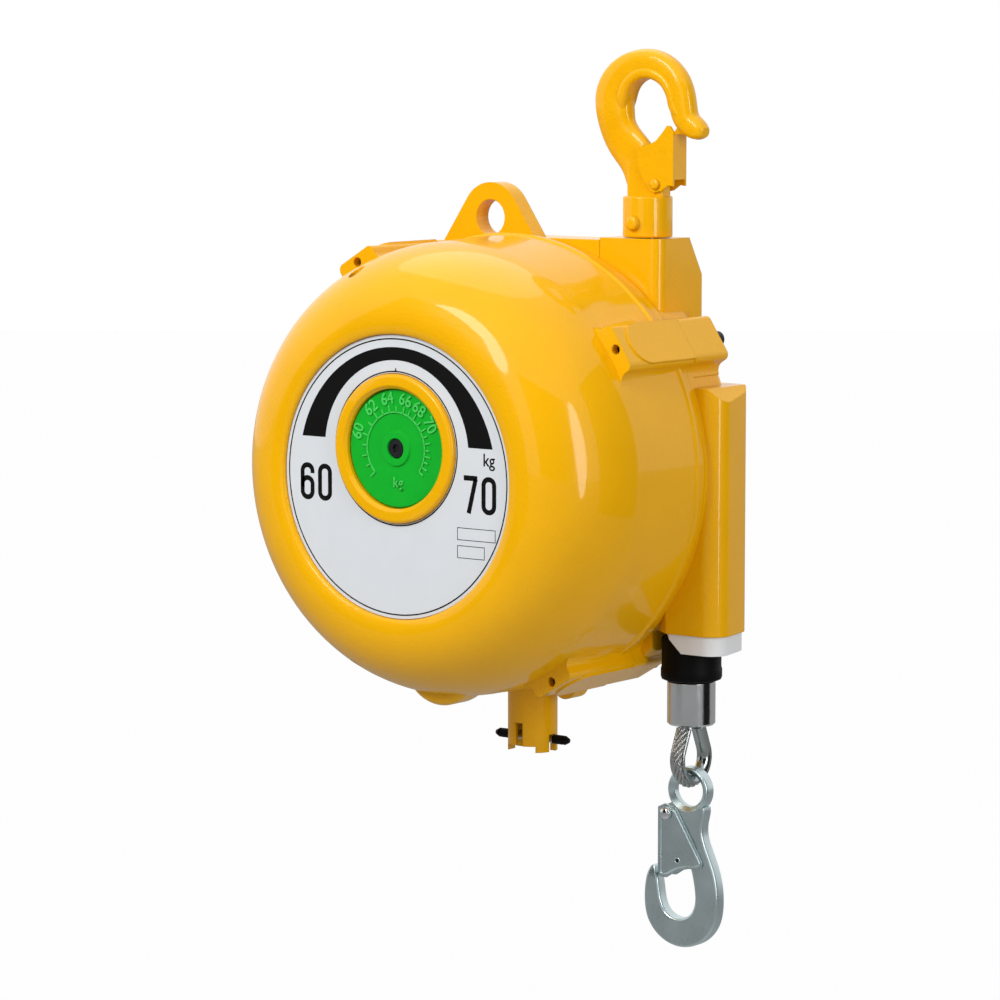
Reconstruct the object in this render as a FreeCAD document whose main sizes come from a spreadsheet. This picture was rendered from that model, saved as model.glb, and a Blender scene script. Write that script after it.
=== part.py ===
import FreeCAD, Part
import math
import os
import re
import Sketcher

from FreeCAD import Placement, Rotation, Vector

# Spring balancer for hand tools, hung from a swivel hook.
# Frame: +Z up, -Y is the dial side, +X the side where the wire rope leaves.
# The origin is the bearing point inside the upper hook, on its swivel axis.

doc = FreeCAD.newDocument("ToolBalancer")
sizes = doc.addObject("Spreadsheet::Sheet", "Sizes")

SIZES = {
    # places
    "axis_left": 82.1, "axis_drop": 241.7, "rope_right": 34.9, "dial_rise": 17.6,
    "plate_ahead": 150, "joint_ahead": 24,
    # front case
    "case_radius": 142, "case_draft": 2, "case_wall": 5, "nose_radius": 96, "nose_proud": 4,
    "shoulder_depth": 66, "bead_height": 1.2, "bead_width": 5, "bead_gap": 7, "web_thick": 8,
    "web_radius": 62, "journal_deep": 3, "bezel_radius": 46, "bezel_proud": 3.6, "dial_recess": 4,
    # rear case
    "flange_step": 0.5, "step_length": 7, "step_down": 1.5, "rear_depth": 44, "rear_round": 12,
    "rear_hub_radius": 34, "rear_hub_proud": 8, "rear_dome": 4, "rear_rib_count": 8, "rear_rib_thick": 5,
    # clamp bosses and their screws
    "boss_proud": 11.5, "boss_foot": 6, "boss_width": 31, "boss_front": 93, "boss_back": 11, "boss_angle": 33,
    "boss_spread": 88, "screw_radius": 3, "screw_gap": 0.3, "screw_short": 6,
    "screw_head_radius": 5, "screw_head_high": 6, "land_radius": 14, "land_high": 1,
    # hook block
    "block_left": 25, "block_right": 20, "block_front": 16.5, "block_back": 17, "block_top": 98.5,
    "block_slope_drop": 23.5, "block_slope_back": 14, "block_round": 8,
    # safety lug
    "lug_left": 111.5, "lug_drop": 88.1, "lug_front": 15.5, "lug_thick": 12.5,
    "lug_radius": 22.3, "lug_eye_radius": 11.3, "lug_flank": 34,
    # rope outlet
    "outlet_left": 17, "outlet_right": 36.4, "outlet_front": 22, "outlet_back": 23.2,
    "outlet_short": 2.035, "outlet_top": 189, "outlet_slope": 11, "outlet_wall": 4.5,
    "outlet_round": 12.5, "outlet_taper": 8.5, "outlet_corner": 12.2, "outlet_cut_back": 9.8,
    "guide_high": 12.1, "guide_inset": 1.6, "guide_bevel": 11.8, "guide_bevel_left": 6, "guide_spigot": 8,
    "guide_bore": 4.2, "slide_gap": 0.3,
    # dial plate and dial
    "plate_radius": 87.3, "plate_thick": 1, "plate_gap": 0.4, "dial_radius": 36.5,
    "dial_thick": 4.6, "dial_socket": 1.6, "dial_hub_radius": 10.5, "dial_hub_proud": 1.2,
    "dial_screw_radius": 5.6,
    "stem_radius": 5, "pinion_radius": 6.6, "gear_gap": 0.3, "gear_thick": 4.5,
    # spring arbor, worm gear
    "arbor_radius": 14, "wheel_seat_radius": 10, "arbor_end_radius": 4.5, "running_gap": 0.05,
    "free_gap": 0.4,
    "wheel_radius": 38, "wheel_thick": 12, "worm_radius": 9.6, "worm_long": 34,
    "worm_rod_radius": 5, "worm_teeth": 30, "tooth_deep": 3.2, "worm_post": 12,
    # drum, spring and bearings
    "rope_radius": 3, "turn_pitch": 9, "turn_taper": 4, "turn_count": 3, "groove_gap": 0.3,
    "flange_high": 6, "flange_thick": 3.5, "drum_web": 8, "drum_rim": 7, "drum_hub_radius": 26,
    "barrel_radius": 118, "barrel_wall": 3, "barrel_clear": 66, "cover_thick": 4,
    "spring_strip": 1.6, "spring_margin": 18, "spring_pitch": 7.4, "spring_inner": 27,
    "bearing_radius": 21, "bearing_wide": 12, "drum_screw_radius": 3,
    # lock
    "lock_ahead": 9.4, "lock_radius": 16, "lock_wall": 4, "lock_long": 46.2,
    "lock_slot_wide": 6.6, "lock_slot_high": 19, "lock_notch_high": 11, "lock_rim_cut": 4,
    "bar_radius": 2.6, "bar_half": 24, "bar_cap_radius": 3, "bar_cap_long": 12, "bar_cap_tip": 3,
    "bar_cap_neck": 0.8, "bar_cap_over": 5,
    "plunger_radius": 6, "dog_wide": 10, "dog_high": 6,
    # upper hook
    "hook_bore": 15.2, "hook_back": 13.5, "hook_crown": 9.3, "hook_front": 8.7,
    "hook_thick": 16, "neck_left": 13, "neck_right": 14.5, "neck_thick": 10.8, "neck_top": 52,
    "hook_shift": 1.5,
    "collar_top": 72.6, "collar_radius": 15.6, "collar_gap": 0.4, "pin_radius": 4.5,
    "pin_head_high": 2.2, "bolt_radius": 8, "bolt_gap": 0.08,
    "nut_radius": 11.5, "nut_high": 9, "washer_radius": 11.8, "washer_thick": 2,
    "pocket_radius": 12.3, "pocket_drop": 14,
    "latch_gauge": 1.5, "latch_half": 7.2, "latch_pivot_right": 10.7, "latch_pivot_drop": 64.8,
    "latch_rivet_radius": 2, "latch_rivet_head": 3.3, "latch_rivet_high": 1.2, "pin_drop": 88.9,
    # rope end
    "stop_radius": 19.3, "stop_nest": 2.2, "stop_long": 28.8, "stop_lip": 0.5, "stop_lip_high": 7,
    "ferrule_radius": 15.2, "ferrule_long": 28.4, "eye_radius": 14.8, "eye_below": 36.9,
    "eye_leg_apart": 3.3, "thimble_wall": 1.2,
    # load hook
    "load_thick": 9, "load_eye_radius": 15, "load_eye_bore": 10.5, "load_eye_drop": 5.1,
    "load_bowl_radius": 27.7, "load_throat": 13.6, "load_bowl_drop": 73.2, "load_bowl_left": 4.7,
    "load_throat_rise": 3.8, "load_throat_left": 2.6, "load_latch_left": 14.7, "load_edge": 1.6,
    "load_latch_drop": 15.7, "load_rivet_radius": 1.8, "load_rivet_head": 4.4, "load_ear_radius": 4.8,
    "load_latch_gauge": 1.2, "load_latch_half": 6,
}
# sizes that follow from the ones above
FOLLOW = {
    "rear_radius": "=case_radius + flange_step",
    "boss_radius": "=case_radius + boss_proud",
    "barrel_long": "=plate_ahead - barrel_clear",
    "spring_width": "=barrel_long - spring_margin",
    "lock_bottom": "=axis_drop + case_radius + lock_long",
    "stop_reach": "=axis_left + rope_right - stop_radius",
    "outlet_bottom": "=axis_drop + sqrt(rear_radius^2 - stop_reach^2) - outlet_short",
    "stop_top": "=outlet_bottom + stop_nest",
    "stop_bottom": "=stop_top + stop_long",
    "ferrule_bottom": "=stop_bottom + ferrule_long",
    "eye_drop": "=ferrule_bottom + eye_below",
}
for row, (name, value) in enumerate({**SIZES, **FOLLOW}.items(), 1):
    sizes.set("A%d" % row, name)
    sizes.set("B%d" % row, str(value))
    sizes.setAlias("B%d" % row, name)
    sizes.recompute()
doc.recompute()


class Sheet:
    """Sizes read back from the spreadsheet by their alias."""

    def __getattr__(self, name):
        return float(sizes.get(name))


s = Sheet()
AXIS = Vector(-s.axis_left, 0, -s.axis_drop)
rope_line = s.axis_left + s.rope_right
parts = []


# ---------------------------------------------------------------- helpers

def formula(text):
    """A formula in the sheet's aliases, as an expression engine formula."""
    return re.sub(r"\b([a-z]+(?:_[a-z]+)+)\b", r"Sizes.\1", str(text))


def number(text):
    """The value of such a formula, worked out by the sheet itself."""
    sizes.set("D1", "=" + re.sub(r"Sizes\.", "", str(text)))
    sizes.recompute()
    return float(sizes.get("D1"))


def bind(item, **formulas):
    """Bind properties such as Radius, or Base_x of the Placement, to formulas."""
    for name, text in formulas.items():
        path = "Placement." + name.replace("_", ".") if name.startswith("Base") else name
        item.setExpression(path, formula(text))
    return item


def named(item, label):
    """Register a finished sub-part under its node name."""
    item.Label = label
    parts.append(item)
    return item


def at_axis(item):
    """Place a sub-part that is drawn about the drum axis."""
    return bind(item, Base_x="-axis_left", Base_z="-axis_drop")


def cylinder(radius, length, x="0", y="0", z="0", along="Z"):
    """A bound cylinder that starts at x, y, z and runs along +X, +Y or +Z."""
    item = doc.addObject("Part::Cylinder", "Cylinder")
    turn = {"X": Rotation(Vector(0, 1, 0), 90), "Y": Rotation(Vector(1, 0, 0), -90), "Z": Rotation()}
    item.Placement = Placement(Vector(number(x), number(y), number(z)), turn[along])
    return bind(item, Radius=radius, Height=length, Base_x=x, Base_y=y, Base_z=z)


def box(length, width, height, x="0", y="0", z="0"):
    """A bound box with its lowest corner at x, y, z."""
    item = doc.addObject("Part::Box", "Box")
    return bind(item, Length=length, Width=width, Height=height, Base_x=x, Base_y=y, Base_z=z)


def cut(base, *tools):
    item = doc.addObject("Part::Cut", "Cut")
    item.Base = base
    item.Tool = tools[0] if len(tools) == 1 else fuse(*tools)
    return item


def fuse(*items):
    item = doc.addObject("Part::MultiFuse", "Fuse")
    item.Shapes = list(items)
    return item


def group(*items):
    """Separate solids that share one node, such as a set of equal screws."""
    item = doc.addObject("Part::Compound", "Group")
    item.Links = list(items)
    return item


def feature(label, shape, base=None):
    """A sub-part whose form neither a sketch nor a primitive gives."""
    item = doc.addObject("Part::Feature", "Form")
    item.Shape = shape
    if base is not None:
        item.Placement = Placement(base, Rotation())
    return named(item, label) if label else item


def sketch_of(body, plane, points, title="Outline"):
    """A closed sketch whose corners are bound to pairs of formulas."""
    sketch = body.newObject("Sketcher::SketchObject", title)
    origin = [f for f in body.Origin.OriginFeatures if f.Role == plane][0]
    sketch.AttachmentSupport = (origin, [""])
    sketch.MapMode = "FlatFace"
    corners = [Vector(number(u), number(v), 0) for u, v in points]
    count = len(corners)
    for i in range(count):
        sketch.addGeometry(Part.LineSegment(corners[i], corners[(i + 1) % count]), False)
    for i in range(count):
        sketch.addConstraint(Sketcher.Constraint("Coincident", i, 2, (i + 1) % count, 1))
    for i, corner in enumerate(corners):
        for kind, text, value in (("DistanceX", points[i][0], corner.x), ("DistanceY", points[i][1], corner.y)):
            n = sketch.addConstraint(Sketcher.Constraint(kind, -1, 1, i, 1, value))
            sketch.setExpression("Constraints[%d]" % n, formula(text))
    return sketch


def turned(label, points, vertical=False):
    """A turned body: corner pairs (radius, place) about the Y axis, or the Z axis if vertical."""
    body = doc.addObject("PartDesign::Body", "Turned")
    sketch = sketch_of(body, "XZ_Plane" if vertical else "XY_Plane", points)
    spin = body.newObject("PartDesign::Revolution", "Revolution")
    spin.Profile = (sketch, [""])
    spin.ReferenceAxis = (sketch, ["V_Axis"])
    spin.Angle = 360
    return named(body, label) if label else body


def soften(body, radius, pick, kind="Fillet"):
    """Round or bevel the edges that pick accepts on the body's last feature."""
    doc.recompute()
    last = body.Tip
    names = ["Edge%d" % (i + 1) for i, e in enumerate(last.Shape.Edges) if pick(e)]
    round_ = body.newObject("PartDesign::" + kind, kind)
    round_.Base = (last, names)
    round_.setExpression("Radius" if kind == "Fillet" else "Size", formula(radius))
    return body


def quarter(start, corner, end):
    """A quarter ellipse from start to end, tangent to the lines through corner."""
    curve = Part.BezierCurve()
    curve.setPoles([Vector(*start), Vector(*corner), Vector(*end)])
    curve.setWeight(2, math.sqrt(0.5))
    return curve.toShape()


def path(*items):
    """A closed wire in the XY plane: points are joined by lines, edges are kept."""
    edges, last, first = [], None, None
    for item in items:
        if isinstance(item, tuple):
            here = Vector(item[0], item[1], 0)
            start = here
        else:
            start, here = item.firstVertex().Point, item.lastVertex().Point
        if last is not None and start.distanceToPoint(last) > 1e-6:
            edges.append(Part.makeLine(last, start))
        if not isinstance(item, tuple):
            edges.append(item)
        first = start if first is None else first
        last = here
    if last.distanceToPoint(first) > 1e-6:
        edges.append(Part.makeLine(last, first))
    return Part.Wire(Part.__sortEdges__(edges))


def spun(*items):
    """A solid turned about the Y axis from a profile of (radius, y) in the XY plane."""
    return Part.Face(path(*items)).revolve(Vector(), Vector(0, 1, 0), 360)


def around(shape, degrees):
    """A copy turned about the drum axis, counted from +X towards +Z."""
    copy = shape.copy()
    copy.rotate(Vector(), Vector(0, -1, 0), degrees)
    return copy


def plate(outline, back, thick):
    """A flat piece: outline points (x, z) extruded from y = back to back + thick."""
    wire = Part.makePolygon([Vector(x, back, z) for x, z in outline + outline[:1]])
    return Part.Face(wire).extrude(Vector(0, thick, 0))


def disc(radius, x, z, back, thick):
    return Part.makeCylinder(radius, thick, Vector(x, back, z), Vector(0, 1, 0))


def edges_along(shape, direction, test):
    """Straight edges of a shape in one direction that pass a test on their middle."""
    found = []
    for edge in shape.Edges:
        if edge.Curve.TypeId == "Part::GeomLine":
            line = edge.lastVertex().Point - edge.firstVertex().Point
            middle = edge.CenterOfMass
            if line.Length > 1e-6 and abs(line.normalize().dot(direction)) > 0.999 and test(middle):
                found.append(edge)
    return found


# ---------------------------------------------------------------- castings

boss_angles = [s.boss_angle, s.boss_angle + s.boss_spread, s.boss_angle + 180,
               s.boss_angle + s.boss_spread + 180]
screw_circle = (s.case_radius + s.boss_radius) / 2
plate_back = s.plate_thick - s.plate_ahead
nose = -s.plate_ahead - s.nose_proud
shoulder = nose + s.shoulder_depth
joint = -s.joint_ahead
bead_back = joint - s.bead_gap
rim_radius = s.case_radius + s.case_draft
wall = s.case_wall
pit_floor = -s.plate_ahead - s.bezel_proud + s.dial_recess + s.dial_thick
wheel_back = plate_back + s.web_thick + 2 * s.free_gap + s.gear_thick + 1.4
worm_y = wheel_back + s.wheel_thick / 2
worm_x = -(s.wheel_radius + s.worm_radius + s.gear_gap)


def boss_foot(front, back):
    """Hollow fillets where a boss at +X meets the round case: a slab less a round bar on each side."""
    half, foot = s.boss_width / 2, s.boss_foot
    heart_z = half + foot
    heart_x = math.sqrt((s.case_radius + foot) ** 2 - heart_z ** 2)
    touch_z = heart_z * s.case_radius / (s.case_radius + foot)
    inner = s.case_radius - 2 * wall
    base = Part.makeBox(heart_x - inner, back - front, 2 * touch_z, Vector(inner, front, -touch_z))
    bars = [disc(foot, heart_x, side * heart_z, front - 1, back - front + 2) for side in (-1, 1)]
    return base.cut(bars)


def boss(front, back, land_front=None):
    """One clamp boss on the round case, drawn at +X."""
    inner = s.case_radius - 2 * wall
    outer = s.boss_radius - (s.land_high if land_front is not None else 0)
    shape = Part.makeBox(outer - inner, back - front, s.boss_width,
                         Vector(inner, front, -s.boss_width / 2))
    corner = edges_along(shape, Vector(0, 1, 0), lambda p: p.x > outer - 1)
    shape = shape.makeFillet(4, corner).fuse(boss_foot(front, back))
    if land_front is not None:
        reach = s.boss_radius - inner
        land = Part.makeCylinder(s.land_radius, reach, Vector(inner, land_front + s.land_radius, 0),
                                 Vector(1, 0, 0))
        tail = Part.makeBox(reach, back - land_front - s.land_radius, 2 * s.land_radius,
                            Vector(inner, land_front + s.land_radius, -s.land_radius))
        shape = shape.fuse(land.fuse(tail)).removeSplitter()
    return shape


def screw_holes(radius):
    """The four holes of the case screws, through both castings."""
    return [around(disc(radius, screw_circle, 0, -s.boss_front - 1, s.boss_front + s.boss_back + 2), degrees)
            for degrees in boss_angles]


def tube_seat():
    """A short round seat under the case that carries the lock tube."""
    return Part.makeCylinder(s.lock_radius + 3, 20, Vector(0, -s.lock_ahead, -s.case_radius - 4))


def front_case():
    """Bell-shaped front half with plate recess, raised dial bezel and clamp bosses."""
    recess = s.plate_radius + s.plate_gap
    lip = -s.plate_ahead - 1.2
    bead = rim_radius + s.bead_height
    outer = spun((0, plate_back), (recess, plate_back), (recess, lip),
                 quarter((recess, lip, 0), (recess, nose, 0), (s.nose_radius, nose, 0)),
                 quarter((s.nose_radius, nose, 0), (s.case_radius, nose, 0), (s.case_radius, shoulder, 0)),
                 (rim_radius, bead_back - s.bead_width), (bead, bead_back - s.bead_width + 1),
                 (bead, bead_back - 1), (s.rear_radius, bead_back), (s.rear_radius, joint), (0, joint))
    floor = plate_back + wall
    inner = spun((0, plate_back + s.web_thick), (s.web_radius, plate_back + s.web_thick),
                 (s.web_radius, floor), (s.nose_radius - wall, floor),
                 quarter((s.nose_radius - wall, floor, 0), (s.case_radius - wall, floor, 0),
                         (s.case_radius - wall, shoulder, 0)),
                 (s.rear_radius - wall, joint), (0, joint))
    for degrees in boss_angles:
        land_front = -s.boss_front + 9
        outer = outer.fuse(around(boss(-s.boss_front, joint, land_front), degrees))
    bezel_front = -s.plate_ahead - s.bezel_proud
    bezel = disc(s.bezel_radius, 0, s.dial_rise, bezel_front, plate_back - bezel_front)
    ring_edge = [e for e in bezel.Edges if abs(e.CenterOfMass.y - bezel_front) < 1e-6]
    bezel = bezel.makeFillet(2.4, ring_edge)
    # worm gland under the nose, a short round pad
    gland = disc(29, 0, -s.case_radius + 24, nose + 44, 24)
    gland = gland.makeFillet(5, [e for e in gland.Edges if e.Curve.TypeId == "Part::GeomCircle"])
    ahead = Part.makeBox(80, 40, 60, Vector(-40, joint - 40, -s.case_radius - 20))
    outer = outer.fuse([bezel, gland, tube_seat().common(ahead)])
    pit = disc(s.dial_radius + s.free_gap, 0, s.dial_rise, bezel_front - 1, pit_floor - bezel_front + 1)
    mouth = Part.makeCone(s.dial_radius + 2.4, s.dial_radius, 2.4, Vector(0, bezel_front, s.dial_rise),
                          Vector(0, 1, 0))
    stem = disc(s.stem_radius + s.running_gap, 0, s.dial_rise, nose, 40)
    journal = disc(s.arbor_end_radius + s.running_gap, 0, 0,
                   plate_back + s.web_thick - s.journal_deep, s.journal_deep + 1)
    # bearings of the worm rod: a long boss in the floor and a bracket on the front wall
    well = Part.makeCylinder(s.worm_rod_radius + 4, 60, Vector(worm_x, worm_y, -s.case_radius))
    bracket = Part.makeBox(2 * s.worm_rod_radius + 10, worm_y - floor + s.worm_rod_radius + 6,
                           s.worm_post, Vector(worm_x - s.worm_rod_radius - 5, floor - 1,
                                               s.worm_long / 2 + s.gear_gap))
    bracket = bracket.makeFillet(4, edges_along(bracket, Vector(0, 0, 1), lambda p: p.y > worm_y))
    rod_way = Part.makeCylinder(s.worm_rod_radius + s.running_gap, 3 * s.case_radius,
                                Vector(worm_x, worm_y, -2 * s.case_radius))
    hollow = outer.cut([inner, pit, mouth, stem, journal])
    return hollow.fuse([well.common(outer), bracket]).cut([rod_way] + screw_holes(s.screw_radius)).removeSplitter()


feature("front_case", front_case(), AXIS)


def outlet_plan(middle, low, high, inset):
    """The outlet seen from above, drawn upwards: cut back at its front left, tapered to the rear."""
    left, right = middle - s.outlet_left + inset, middle + s.outlet_right - inset
    ahead, behind = inset - s.outlet_front, s.outlet_back - inset
    corners = [(left + s.outlet_corner, ahead), (right, ahead), (right - s.outlet_taper, behind),
               (left, behind), (left, ahead + s.outlet_cut_back)]
    wire = Part.makePolygon([Vector(x, y, low) for x, y in corners + corners[:1]])
    block = Part.Face(wire).extrude(Vector(0, 0, high - low))
    right_edges = edges_along(block, Vector(0, 0, 1), lambda p: p.x > right - s.outlet_taper - 1)
    return block.makeFillet(s.outlet_round - inset, right_edges)


def outlet_room(middle, low, high, gap):
    """The room inside the outlet, the guide's spigot fits it with a gap."""
    t = s.outlet_wall + gap
    ahead = s.outlet_cut_back - s.outlet_front + t / 2
    room = Part.makeBox(s.outlet_left + s.outlet_right - s.outlet_taper - 2 * t, s.outlet_back - t - ahead,
                        high - low, Vector(middle - s.outlet_left + t, ahead, low))
    return room.makeFillet(s.outlet_wall, edges_along(room, Vector(0, 0, 1), lambda p: True))


def rear_case():
    """Rear half: dished and ribbed back, hook block, safety lug and rope outlet."""
    step = joint + s.step_length
    body_radius = s.rear_radius - s.step_down
    back = joint + s.rear_depth
    dome = back + s.rear_dome
    round_start = (body_radius, back - s.rear_round, 0)
    outer = spun((0, joint), (s.rear_radius, joint), (s.rear_radius, step - 1), (body_radius, step),
                 quarter(round_start, (body_radius, back, 0), (body_radius - s.rear_round, back, 0)),
                 (s.rear_hub_radius + 6, dome), (s.rear_hub_radius, dome + s.rear_hub_proud),
                 (0, dome + s.rear_hub_proud))
    inner_radius = body_radius - wall
    floor = back - wall
    inner = spun((0, joint), (s.rear_radius - wall, joint), (inner_radius, step),
                 quarter((inner_radius, floor - s.rear_round + wall, 0), (inner_radius, floor, 0),
                         (inner_radius - s.rear_round + wall, floor, 0)),
                 (s.rear_hub_radius, floor + s.rear_dome / 2), (0, floor + s.rear_dome / 2))
    adds, cuts = [], [inner]
    for degrees in boss_angles:
        adds.append(around(boss(joint, s.boss_back), degrees))
    # radial ribs on the back
    reach = body_radius - s.rear_round - s.rear_hub_radius
    for i in range(int(s.rear_rib_count)):
        rib = Part.makeBox(reach, s.rear_dome + s.rear_hub_proud / 2, s.rear_rib_thick,
                           Vector(s.rear_hub_radius - 2, back - 1, -s.rear_rib_thick / 2))
        rib = rib.makeFillet(1.5, edges_along(rib, Vector(1, 0, 0), lambda p: p.y > back + 2))
        adds.append(around(rib, 360 * (i + 0.5) / s.rear_rib_count))
    # hook block: a tapered box over the swivel bolt, in the hook's own place
    rise = s.axis_drop - s.block_top
    x0 = s.axis_left
    slope_rise = rise - s.block_slope_drop
    slope_back = s.block_back + s.block_slope_back
    profile = [(-s.block_front, rise), (s.block_back, rise), (slope_back, slope_rise),
               (slope_back, slope_rise - 36), (-s.block_front, slope_rise - 36)]
    side = Part.makePolygon([Vector(x0 - s.block_left, y, z) for y, z in profile + profile[:1]])
    block = Part.Face(side).extrude(Vector(s.block_left + s.block_right, 0, 0))
    corners = edges_along(block, Vector(0, 0, 1), lambda p: p.x > x0)
    block = block.makeFillet(s.block_round, [e for e in corners if e.CenterOfMass.y < 0])
    adds.append(block)
    # low saddle that joins the lug, the block and the round case
    saddle = Part.makeBox(x0 - s.block_left + 20, back - 8 - step, 30, Vector(-20, step, rise - 31.5))
    adds.append(saddle)
    # safety lug
    lug_x, lug_z = s.axis_left - s.lug_left, s.axis_drop - s.lug_drop
    slope = math.radians(s.lug_flank)
    touch = (s.lug_radius * math.cos(slope), s.lug_radius * math.sin(slope))
    fall = 40
    flare = touch[0] + (fall + touch[1]) * math.tan(slope)
    web = plate([(lug_x - touch[0], lug_z + touch[1]), (lug_x + touch[0], lug_z + touch[1]),
                 (lug_x + flare, lug_z - fall), (lug_x - flare, lug_z - fall)], -s.lug_front, s.lug_thick)
    lug = web.fuse(disc(s.lug_radius, lug_x, lug_z, -s.lug_front, s.lug_thick)).removeSplitter()
    adds.append(lug)
    cuts.append(disc(s.lug_eye_radius, lug_x, lug_z, -s.lug_front - 1, s.lug_thick + 2))
    # rope outlet: a hollow box beside the drum, sloped at its top
    left, right = rope_line - s.outlet_left, rope_line + s.outlet_right
    top, bottom = s.axis_drop - s.outlet_top, s.axis_drop - s.outlet_bottom
    outline = [(left, bottom), (right, bottom), (right, top - s.outlet_slope),
               (right - s.outlet_slope, top), (left, top)]
    side = plate(outline, -s.outlet_front, s.outlet_front + s.outlet_back)
    adds.append(side.common(outlet_plan(rope_line, bottom, top, 0)))
    cuts.append(outlet_room(rope_line, bottom - 1, top - 40, 0))
    # keel and round pad under the case, beside the lock tube
    adds.append(keel_sector(back))
    pad = disc(9, 30, -s.case_radius - 1, -16, 14)
    adds.append(pad)
    # swivel bolt hole with a pocket for its nut, and the drum shaft's rear journal
    floor_z = rise - s.pocket_drop
    hole = Part.makeCylinder(s.bolt_radius + s.bolt_gap, 60, Vector(x0, 0, rise - 50))
    pocket = Part.makeCylinder(s.pocket_radius, 40, Vector(x0, 0, floor_z - 40))
    journal = disc(s.wheel_seat_radius + s.running_gap, 0, 0, floor - 1, s.rear_dome + s.rear_hub_proud)
    # seat for the lock tube and the plunger's way in
    tube_y = -s.lock_ahead
    behind = Part.makeBox(80, 40, 60, Vector(-40, joint, -s.case_radius - 20))
    adds.append(tube_seat().common(behind))
    plunger_way = Part.makeCylinder(s.plunger_radius + s.slide_gap, 60, Vector(0, tube_y, -s.case_radius - 30))
    dog_half = s.dog_wide / 2 + s.slide_gap
    dog_way = Part.makeBox(2 * dog_half, tube_y - joint, 40, Vector(-dog_half, joint, -s.case_radius - 6))
    tube_room = Part.makeCylinder(s.lock_radius + s.running_gap, 30, Vector(0, tube_y, -s.case_radius - 34))
    cuts += [hole, pocket, journal, plunger_way, dog_way, tube_room] + screw_holes(s.screw_radius + s.screw_gap)
    return outer.fuse(adds).cut(cuts).removeSplitter()


def keel_sector(back):
    """A shallow ridge round the bottom right of the case, from the lock tube to the outlet."""
    face = Part.Face(path((s.case_radius - 8, back - 34), (s.boss_radius - 5, back - 34),
                          (s.boss_radius - 3, back - 30), (s.boss_radius - 3, back - 14),
                          (s.case_radius - 8, back - 6)))
    ridge = face.revolve(Vector(), Vector(0, -1, 0), 52)
    ridge.rotate(Vector(), Vector(0, -1, 0), -92)
    beside = Part.makeBox(60, 80, 60, Vector(rope_line - s.stop_radius - 1, -60, -s.boss_radius))
    return ridge.cut(beside)


feature("rear_case", rear_case(), AXIS)

screws = []
for degrees in boss_angles:
    long = s.boss_back + s.boss_front - s.screw_short
    rod = disc(s.screw_radius - 0.02, screw_circle, 0, -s.boss_front + s.screw_short, long)
    head = disc(s.screw_head_radius, screw_circle, 0, s.boss_back, s.screw_head_high)
    hexagon = Part.makePolygon([Vector(screw_circle + 2.9 * math.cos(math.radians(60 * i)),
                                       s.boss_back + s.screw_head_high - 3,
                                       2.9 * math.sin(math.radians(60 * i))) for i in range(7)])
    socket = Part.Face(hexagon).extrude(Vector(0, 4, 0))
    screws.append(around(rod.fuse(head).cut(socket), degrees))
feature("case_screws", Part.makeCompound(screws), AXIS)

# white cable guide that closes the outlet, with a nest for the rubber stop
top_z = -s.outlet_bottom
low_z = top_z - s.guide_high
x_left = s.rope_right - s.outlet_left
x_right = s.rope_right + s.outlet_right
x_bevel = s.rope_right - s.guide_bevel_left
outline = [(x_left, top_z), (x_left, top_z - 1), (x_bevel, top_z - 1), (x_bevel + s.guide_bevel, low_z),
           (x_right, low_z), (x_right, top_z)]
side = plate(outline, -s.outlet_front, s.outlet_front + s.outlet_back)
guide = side.common(outlet_plan(s.rope_right, low_z, top_z, s.guide_inset))
spigot = outlet_room(s.rope_right, top_z - 1, top_z + s.guide_spigot, s.running_gap)
nest = Part.makeCylinder(s.stop_radius + s.slide_gap, 30, Vector(s.rope_right, 0, -s.stop_top - 30 + s.slide_gap))
bore = Part.makeCylinder(s.guide_bore, 60, Vector(s.rope_right, 0, low_z - 20))
feature("cable_guide", guide.fuse(spigot).cut([nest, bore]).removeSplitter())

# dial plate with the offset opening for the bezel
face_plate = cylinder("plate_radius", "plate_thick", y="-plate_ahead", along="Y")
bezel_hole = cylinder("bezel_radius + plate_gap", "plate_thick + 2", y="-plate_ahead - 1", z="dial_rise", along="Y")
at_axis(named(cut(face_plate, bezel_hole), "dial_plate"))

# ---------------------------------------------------------------- dial, arbor and worm gear

pit = "(-plate_ahead - bezel_proud + dial_recess + dial_thick)"
gear_far = "(plate_thick - plate_ahead + web_thick + running_gap)"
dial = turned("load_dial", [
    ("0", "%s - running_gap" % pit), ("dial_radius", "%s - running_gap" % pit),
    ("dial_radius", "%s - dial_thick + 0.8" % pit), ("dial_radius - 0.8", "%s - dial_thick" % pit),
    ("dial_hub_radius + 0.6", "%s - dial_thick" % pit),
    ("dial_hub_radius", "%s - dial_thick - dial_hub_proud" % pit),
    ("dial_screw_radius + 0.9", "%s - dial_thick - dial_hub_proud" % pit),
    ("dial_screw_radius + 0.3", "%s - dial_thick + dial_socket" % pit),
    ("0", "%s - dial_thick + dial_socket" % pit)])
bind(dial, Base_x="-axis_left", Base_z="dial_rise - axis_drop")


def toothed(radius, teeth, depth, thick, back, phase=0.0):
    """A spur wheel: trapezoid teeth stand on a root disc, one rotated copy each."""
    root = radius - depth
    wheel = disc(root, 0, 0, back, thick)
    half = math.pi * radius / teeth / 2
    tooth = plate([(root - 0.5, -half * 1.15), (radius, -half * 0.45), (radius, half * 0.45),
                   (root - 0.5, half * 1.15)], back, thick)
    return wheel.fuse([around(tooth, 360 * (i + phase) / teeth) for i in range(teeth)]).removeSplitter()


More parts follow.
